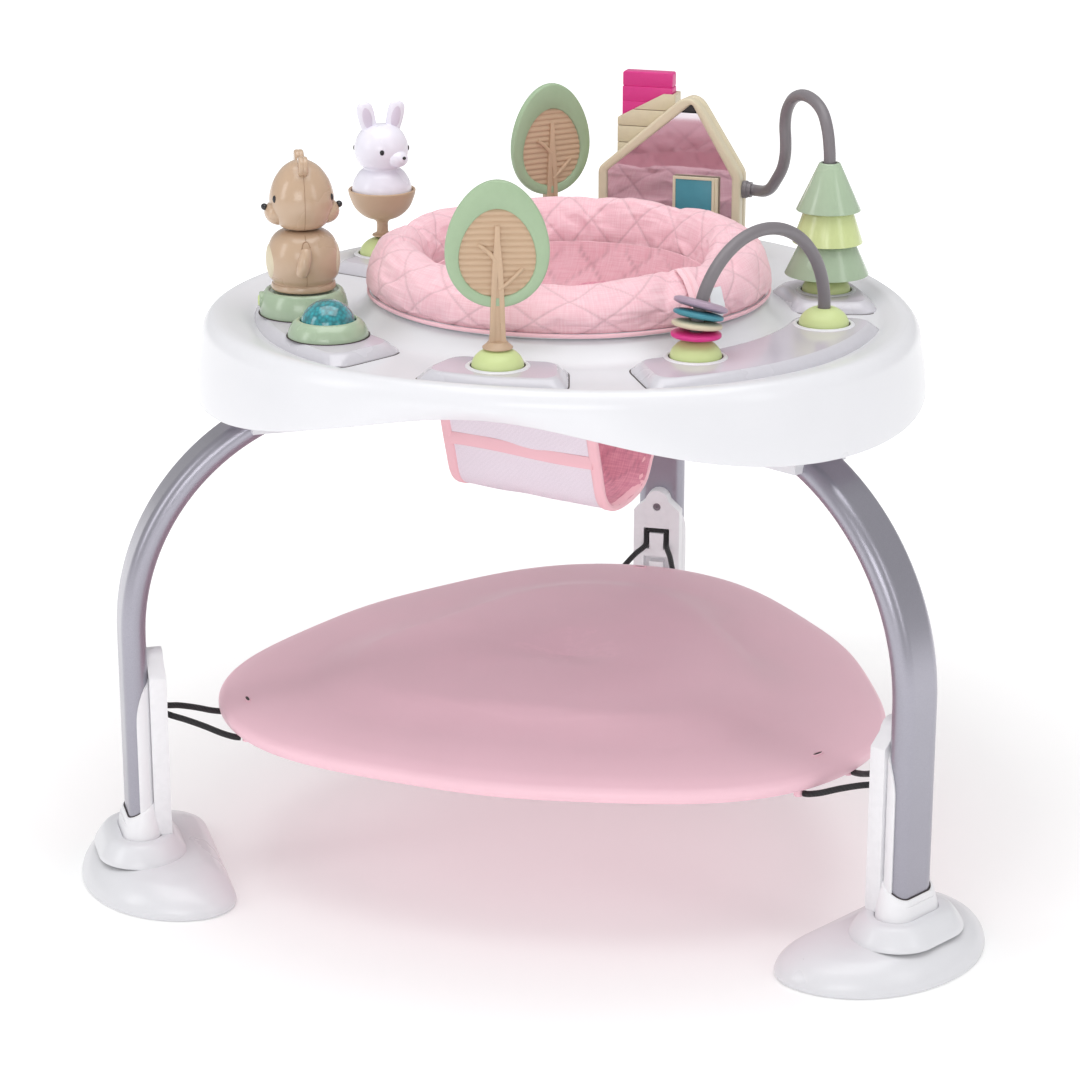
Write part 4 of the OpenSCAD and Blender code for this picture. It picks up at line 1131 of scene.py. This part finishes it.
def addBear():
    at = stand(*spots["bear"])
    base = [(0.01, 490), (37.4, 490), (37.2, 497), (35.6, 504), (33.2, 509.4), (31.2, 511), (29.2, 510.6),
            (28.4, 508.8), (0.01, 508.6)]
    build("bearBase", *lathe(fillet(base, [0, 0.5, 4, 4, 3, 1.5, 1, 1, 0], steps=4), 80), "sageGloss", "frame", at,
          replaces=["bear_base"])
    # A thin dark ring round the base's foot: painted shade where the base meets the tray.
    build("bearBaseShadowGap", *lathe([(36.9, 490.6), (38.6, 490.6), (38.6, 490.2), (36.9, 490.2)], 80), "gap", "frame", at)
    notch = at @ turn("Z", 200) @ shift(36.2, 0, 501) @ turn("Y", 90)
    build("bearButtonRing", *lathe(fillet([(5.3, -3), (7.6, -3), (7.6, 0.5), (6.6, 1.4), (5.3, 0.6)], 0.6), 40),
          "sageGloss", "frame", notch)
    build("bearButton", *lathe(fillet([(0.01, -5), (5.0, -5), (5.0, 1.4), (3.6, 2.5), (0.01, 2.5)], [0, 0, 1, 1.2, 0]),
                               40), "lime", "bear_button",
          notch, replaces=["bear_button"])
    build("bearBody", *lathe(bearBody, 96), "tanGloss", "bear", at, replaces=["bear_body"])
    build("bearHead", *lathe(bearHead, 96), "tanGloss", "bear_head", at, replaces=["bear_head"])
    face = at @ turn("Z", bear["turn"])
    for s, side in ((1, "A"), (-1, "B")):
        toward = 0 if s == 1 else 180
        build("bearBelly" + side, *patchOn(bearBody, bear["turn"] + toward, 535, 33, 15.5), "cream", "bear", at,
              sharp=60)
        arm = [Vector((0, s * 30.2, 550)), Vector((1.5, s * 33.0, 543)), Vector((3.5, s * 33.4, 535)),
               Vector((5.0, s * 31.8, 529))]
        thick = lambda f: 2.4 + 3.2 * math.sin(math.pi * min(0.98, 0.16 + 0.62 * f))
        build("bearArm" + side, *rod(smoothPath(arm, 8), thick, 20, up=(1, 0, 0)), "tanGloss", "bear", face)
        # A dark line round the top of the arm: painted shade in the crease where the arm meets the body.
        hook = [polar(radiusAt(bearBody, z) + 0.1, s * 90 - da, z) for da,
                z in ((7, 541), (7.5, 550), (4, 555), (-3, 555.5), (-7, 551))]
        build("bearArmShadeLine" + side, *rod(smoothPath(hook, 6), 0.45, 8, up=(0.3, 0.2, 0.9)), "tanDark", "bear", face)
        build("bearBodySeam" + side, *seamOn(bearBody, s * 90, 518, 527), "tanDark", "bear", face)
        build("bearNeckSeam" + side, *seamOn(bearBody, s * 90, 556, 560), "tanDark", "bear", face)
        build("bearHeadSeam" + side, *seamOn(bearHead, s * 90, 564, 612), "tanDark", "bear_head", face)
        muzzle = moved(blob(12.0, 13.2, 10.6), shift(19.6, 0, bear["muzzleZ"]) @ turn("Y", -8))
        nose = moved(blob(3.0, 4.2, 2.8), shift(31.2, 0, bear["muzzleZ"] + 5) @ turn("Y", -25))
        spin = face @ turn("Z", toward)
        build("bearMuzzle" + side, *muzzle, "tanGloss", "bear_head", spin)
        build("bearNose" + side, *nose, "black", "bear_head", spin)
        for e, eye in ((1, "Left"), (-1, "Right")):
            dot = moved(blob(1.5, 2.1, 3.2), turn("Z", e * 27) @ shift(radiusAt(bearHead, bear["eyeZ"]) - 0.3, 0,
                    bear["eyeZ"]))
            build("bearEye" + eye + side, *dot, "black", "bear_head", spin)
        ear = moved(lathe(fillet([(0.01, -4), (7.2, -4), (8.2, -2.6), (8.2, -0.5), (7.8, 0), (8.2, 0.5), (8.2, 2.6),
                                  (7.2, 4), (0.01, 4)], 1.0), 40),
                    shift(0, s * 15.5, 617.5) @ turn("X", -s * 14) @ turn("Y", 90))
        build("bearEar" + side, *ear, "tanGloss", "bear_head", face)


orb = {"radius": 22.6, "height": 21, "foot": 9}


def addOrb():
    at = stand(*spots["orb"], 490)
    ring = [(22.9, 12.5), (23.6, 14.2), (26.6, 13.2), (30.4, 9.4), (33.0, 3.6), (33.4, 0)]
    build("orbRing", *lathe(fillet(ring, 2.5, steps=4), 80), "sageGloss", "frame", at, replaces=["orb_ring"])
    build("orbRingInside", *lathe([(22.9, 12.5), (22.9, 3), (0.01, 3)], 80), "dark", "frame", at)
    # A thin dark ring round the ring's foot: painted shade where it meets the tray.
    build("orbShadowGap", *lathe([(33, 0.6), (34.5, 0.6), (34.5, 0.2), (33, 0.2)], 80), "gap", "frame", at)
    dome = [(orb["radius"] * math.cos(t),
             orb["foot"] + orb["height"] * math.sin(t)) for t in (math.radians(d) for d in range(-20, 91, 5))]
    build("orbDome", *lathe([(0.01, 8.2), (22.2, 8.2)] + [(max(r, 0.01), z) for r, z in dome if z > 8.4], 80), "orb",
          "orb", at, sharp=60, replaces=["orb_dome"])


addBear()
addOrb()

bunny = {"turn": 331, "earTurn": 302, "muzzleZ": 580, "eyeZ": 587, "flatEar": 0.46}
bunnyShape = fillet([(0.01, 541.6), (26.0, 541.6), (27.2, 548), (26.2, 556), (21, 565), (15.4, 569.2), (21, 573),
                     (24.6, 582), (24.2, 592),
                     (19, 602.5), (10, 608.4), (0.01, 609)], [0, 1, 4, 6, 6, 2.2, 5, 7, 7, 7, 6, 0], steps=6)


def addBunny():
    at = stand(*spots["bunny"])
    bowl = [(0.01, 506.6), (9.5, 506.6), (9.3, 508), (5.2, 509.5), (5.0, 519), (7, 521.4), (17, 525), (25.6, 533),
            (30, 545), (30.6, 549), (29.6, 550), (28.2, 549), (27.6, 545), (0.01, 544)]
    build("bunnyBowl", *lathe(fillet(bowl, [0, .5, .8, 2, 3, 3, 6, 8, 4, 1, .8, .8, 1, 0], steps=4), 80), "tan",
          "bunny_bowl", at, replaces=["bunny_bowl"])
    build("bunnyFigure", *lathe(bunnyShape, 96), "bunny", "bunny", at, replaces=["bunny_figure"])
    for toward, side in ((0, "A"), (180, "B")):
        face = at @ turn("Z", bunny["turn"] + toward)
        build("bunnyMuzzle" + side, *moved(blob(9.5, 10.2, 7.8), shift(20.5, 0, bunny["muzzleZ"]) @ turn("Y", 10)),
              "bunny", "bunny", face)
        build("bunnyNose" + side, *moved(blob(1.5, 2.0, 1.5), shift(29.6, 0, bunny["muzzleZ"] + 1.4)), "black",
              "bunny", face)
        for e, eye in ((1, "Left"), (-1, "Right")):
            dot = moved(blob(1.2, 2.0, 2.5), turn("Z", e * 42) @ shift(radiusAt(bunnyShape, bunny["eyeZ"]) - 0.2, 0,
                    bunny["eyeZ"]))
            build("bunnyEye" + eye + side, *dot, "black", "bunny", face)
    for s, side in ((1, "Left"), (-1, "Right")):
        path = smoothPath([(0, s * 9.5, 598), (0, s * 11.5, 608), (0, s * 13.6, 617), (0, s * 15.0, 624),
                           (0, s * 15.6, 629.0)], 8)
        tip = lambda f: math.sqrt(max(0.0, 1 - max(0, (f - 0.72) / 0.28) ** 2.4))
        thick = lambda f: max(0.3, 7.4 * (0.82 + 0.24 * math.sin(math.pi * f)) * tip(f))
        shape = rod(path, thick, 28, up=(0, 1, 0))
        squeezed = [(p[0] * bunny["flatEar"], p[1], p[2]) for p in shape[0]], shape[1]
        ears = at @ turn("Z", bunny["earTurn"])
        build("bunnyEar" + side, *squeezed, "bunny", "bunny", ears)
        for front, way in ((1, "Front"), (-1, "Back")):
            inner = moved(blob(1.0, 4.3, 10.5), shift(front * 2.9, s * 13.2, 615) @ turn("X", -s * 12))
            build("bunnyInnerEar" + side + way, *inner, "innerEar", "bunny", ears)


addBunny()

beads = [("magenta", "magenta", 20.5, 3.1), ("cream", "cream", 20.5, 3.1), ("teal", "teal", 20.5, 3.1),
         ("mauve", "mauve", 23.0, 3.3)]


def inArch():
    return stand(*spots["arch"], archLook["height"], archLook["turn"]) @ turn("X", 90)


def addArch():
    r = archLook["radius"]
    path = [Vector((r * math.cos(math.radians(a)), r * math.sin(math.radians(a)), 0)) for a in range(-8, 189, 2)]
    build("beadArch", *rod(path, archLook["tube"], 28), "tube", "frame", inArch(), replaces=["arch_tube"])
    for k, (name, finish, radius, half) in enumerate(beads):
        at = inArch() @ turn("Z", 180 - 2.6 - 6 * k) @ shift(r, 0, 0) @ turn("X", 90)
        section = fillet([(6.45, -half), (radius - 5, -half), (radius, -1.5), (radius, 1.5), (radius - 5, half),
                          (6.45, half)],
                         [0.6, 3, 1.6, 1.6, 3, 0.6], closed=True, steps=4)
        rings = []
        for i in range(96):
            a = 360 * i / 96
            swell = 1.0 if name != "mauve" else 1 - 0.028 * (1 + math.cos(math.radians(8 * a)))
            rings.append([polar(6.45 + (p.x - 6.45) * swell, a, p.y) for p in section])
        build("bead_" + name + "Disc", *loft(rings, loop=True), finish, "bead_" + name, at, sharp=50,
              replaces=["bead_" + name])


wire = [(206, 96, 490), (206, 96, 520), (206, 96, 560), (206, 96, 600), (205, 97, 616), (202, 101, 631),
        (196, 110, 643), (186, 123, 650),
        (174, 139, 651), (163, 154, 645), (156, 163, 633), (154, 166, 619), (155, 165, 606), (155, 165, 593),
        (152, 169, 580),
        (145, 178, 567), (138, 191, 557), (130, 204, 551), (122, 213.5, 549), (116, 216.1, 549), (112.1, 216.3, 549)]
cones = [("pine_cone_low", "cone_low", 505, 541, 36.5, 20, "sageGloss"),
         ("pine_cone_mid", "cone_mid", 533, 570, 30.5, 18, "limeGloss"),
         ("pine_cone_top", "cone_top", 561, 602, 28, 9, "sageGloss")]


def addPine():
    build("wireLoop", *rod(smoothPath(wire, 6), 5.2, 24, up=(0.6, 0.8, 0)), "tube", "frame", replaces=["wire_tube"])
    for node, body, low, high, wide, narrow, finish in cones:
        section = [(6.5, high), (narrow, high), (wide, low), (wide - 1.4, low), (narrow - 2, high - 2.5),
                   (6.5, high - 2.5)]
        outline = fillet(section, [0.3, 1.2, 0.5, 0.5, 1, 0.3], closed=True, steps=3)
        build(node.replace("pine_cone_", "pineCone_"), *lathe(outline + outline[:1], 96), finish, body,
              stand(*spots["pine"]), replaces=[node])
        # A dark ring in the cone's top hole: painted shade inside the hole.
        build("pineHoleShadow_" + body, *lathe([(5.5, high - 0.6), (7.6, high + 0.12), (7.6, high - 1.2), (5.5, high - 1.2)],
                                         48), "gap", body,
              stand(*spots["pine"]))


addArch()
addPine()

house = {"left": -67, "right": 66.5, "eave": 563, "apexX": 19, "apexZ": 638, "base": 490, "depth": 28, "border": 8}
panelUp = Matrix(((1, 0, 0, 0), (0, 0, 1, 0), (0, 1, 0, 0), (0, 0, 0, 1)))  # local x across, y up, z into the depth


def gable(d):
    base = house["base"]
    return [(house["left"] + d, base + d), (house["right"] - d, base + d), (house["right"] - d, house["eave"] - d / 3),
            (house["apexX"] + d / 8, house["apexZ"] - 1.5 * d), (house["left"] + d, house["eave"] - d / 3)]


def inHouse():
    return stand(*spots["house"], 0, -3) @ panelUp


def boxAt(x0, x1, y0, y1, z0, z1):
    return slab([(x0, y0), (x1, y0), (x1, y1), (x0, y1)], z0, z1)


def addHouse():
    at, d = inHouse(), house["border"]
    outer, inner = fillet(gable(0), [4, 4, 5, 20, 5], True, 8), fillet(gable(d), [1, 1, 1.5, 3, 1.5], True, 8)
    build("houseFront", *frameSlab(outer, inner, 0, 12), "cream", "frame", at, bevel=3.0, rounds=4,
          replaces=["house_frame"])
    ledge = fillet(gable(1.8), [4, 4, 5, 19, 5], True, 8)
    build("houseMiddle", *frameSlab(ledge, inner, 11, 19), "cream", "frame", at, bevel=1.0)
    build("houseBack", *slab(fillet(gable(0.6), [4, 4, 5, 20, 5], True, 8), 18, house["depth"]), "cream", "frame", at,
          bevel=2.4, rounds=3)
    # A black sheet behind the mirror, seen in the gap above it: painted shade of the dark hollow inside the house.
    build("houseHollowShade", *slab(inner, 7.4, 9), "black", "frame", at)
    cut = [(house["left"] + d, 498), (house["right"] - d, 498), (house["right"] - d, house["eave"] - d / 3), (25, 617),
           (9.5, 617), (house["left"] + d, house["eave"] - d / 3)]
    build("houseMirror", *slab(cut, 4, 6), "mirror", "frame", at, sharp=20, replaces=["house_mirror"])
    door = boxAt(6.4, 40.6, 502.4, 557.6, -0.6, 1.2)
    build("houseDoor", *door, "teal", "door", at, bevel=0.5, replaces=["house_door"])
    border = frameSlab([(4, 500), (43, 500), (43, 560), (4, 560)],
                       [(6.6, 502.6), (40.4, 502.6), (40.4, 557.4), (6.6, 557.4)], -1.4, 1.8)
    build("houseDoorBorder", *border, "cream", "door", at, bevel=0.5)
    build("houseDoorKnob", *moved(blob(1.6, 1.6, 1.4), shift(10.5, 528, -1.4)), "cream", "door", at)
    hinge = moved(lathe(fillet([(0.01, 500), (1.9, 500), (1.9, 560), (0.01, 560)], [0, 0.5, 0.5, 0]), 24),
                  shift(44.5, 0, 0.5) @ panelUp)
    build("houseDoorHinge", *hinge, "cream", "door", at)
    addChimney(at)


chimney = {"left": -57, "right": -3, "courses": 9, "pitch": 15.4, "joint": 0.5, "slopeLow": 605, "slopeHigh": 634,
           "marks": (560, 605, 619.5, 633), "front": 31.0, "back": 47.0}


def courseOutline(low, high):
    left, right, slopeLow, slopeHigh = (chimney[k] for k in ("left", "right", "slopeLow", "slopeHigh"))
    onSlope = lambda z: left + (z - slopeLow) * (right - left) / (slopeHigh - slopeLow)
    if low >= slopeLow:
        top, start = min(high, slopeHigh), onSlope(low)
        return [(start, low), (right, low), (right, top), (min(onSlope(top), right - 0.4),
                top)] if start <= right - 3 else None
    if high > slopeLow:
        return [(left, low), (right, low), (right, high), (onSlope(high), high), (left, slopeLow)]
    return [(left, low), (right, low), (right, high), (left, high)]


def addChimney(at):
    # Each course is hollow, because the brick block slides down inside.
    left, right, front, back = (chimney[k] for k in ("left", "right", "front", "back"))
    for i in range(chimney["courses"]):
        low, high = house["base"] + chimney["pitch"] * i, house["base"] + chimney["pitch"] * (i + 1) - chimney["joint"]
        outline = courseOutline(low, high)
        if not outline:
            continue
        walls = [slab(outline, front - 2.5, front), slab(outline, back, back + 2.5 + (i % 2) * 0.2)]
        if outline[0][0] == left:
            walls.append(boxAt(left, left + 3, low, outline[-1][1], front, back))
        walls.append(boxAt(right - 2.8, right, low, outline[2][1], front, back))
        build("chimneyCourse" + str(i), *join(*walls), "cream", "frame", at, bevel=0.5,
              replaces=["chimney_stack"] if i == 0 else [])
    marks = chimney["marks"]
    for i in range(3):
        build("brickCourse" + str(i), *boxAt(-53.4, -6.4, marks[i], marks[i + 1] + 0.2, 31.6, 46.4), "magenta",
              "chimney_block", at, bevel=0.6, rounds=3, replaces=["chimney_block"] if i == 0 else [])
    top = fillet([(-53.4, 633), (-6.4, 633), (-6.4, 646.8), (-53.4, 646.8)], 2.4, True, 5)
    build("brickTop", *slab(top, 32.4, 45.6), "magenta", "chimney_block", at, bevel=0.9, rounds=3)


addHouse()

print("stage: carried-over parts and floor")
carried = {"seat_support_ring": "white", "leg_sockets": "white", "sound_module": "dark", "battery_cover": "white",
           "shroud_screws": "screw", "foot_pads": "rubber", "seat_ring": "white", "wire_socket": "tube"}
for node, finish in carried.items():
    paintCarried(node, finish)


def addFloor():
    mesh = bpy.data.meshes.new("studioFloor")
    work = bmesh.new()
    bmesh.ops.create_grid(work, x_segments=8, y_segments=8, size=studio["floor"])
    work.to_mesh(mesh)
    work.free()
    floor = newObject("studioFloor", mesh)
    material, s, shader = newMaterial("floorPaperGlow", Roughness=0.85)
    paper = s.add("ShaderNodeTexNoise", {"Vector": s.onObject(), "Scale": 3.0}).outputs["Fac"]
    s.feed(shader.inputs["Base Color"], s.mix(paper, (0.80, 0.80, 0.80, 1), (0.82, 0.82, 0.82, 1)))
    # The floor's emission is painted light: weak near the object so its shadow stays grey, strong far away so the
    # backdrop reads white.
    shader.inputs["Emission Color"].default_value = (1, 1, 1, 1)
    away = s.add("ShaderNodeVectorMath", {0: s.onObject()}, operation="LENGTH").outputs["Value"]
    s.feed(shader.inputs["Emission Strength"], s.ramp(away, studio["glowFrom"], studio["glowTo"], studio["nearGlow"],
            studio["farGlow"]))
    mesh.materials.append(material)


addFloor()
bpy.context.view_layer.update()
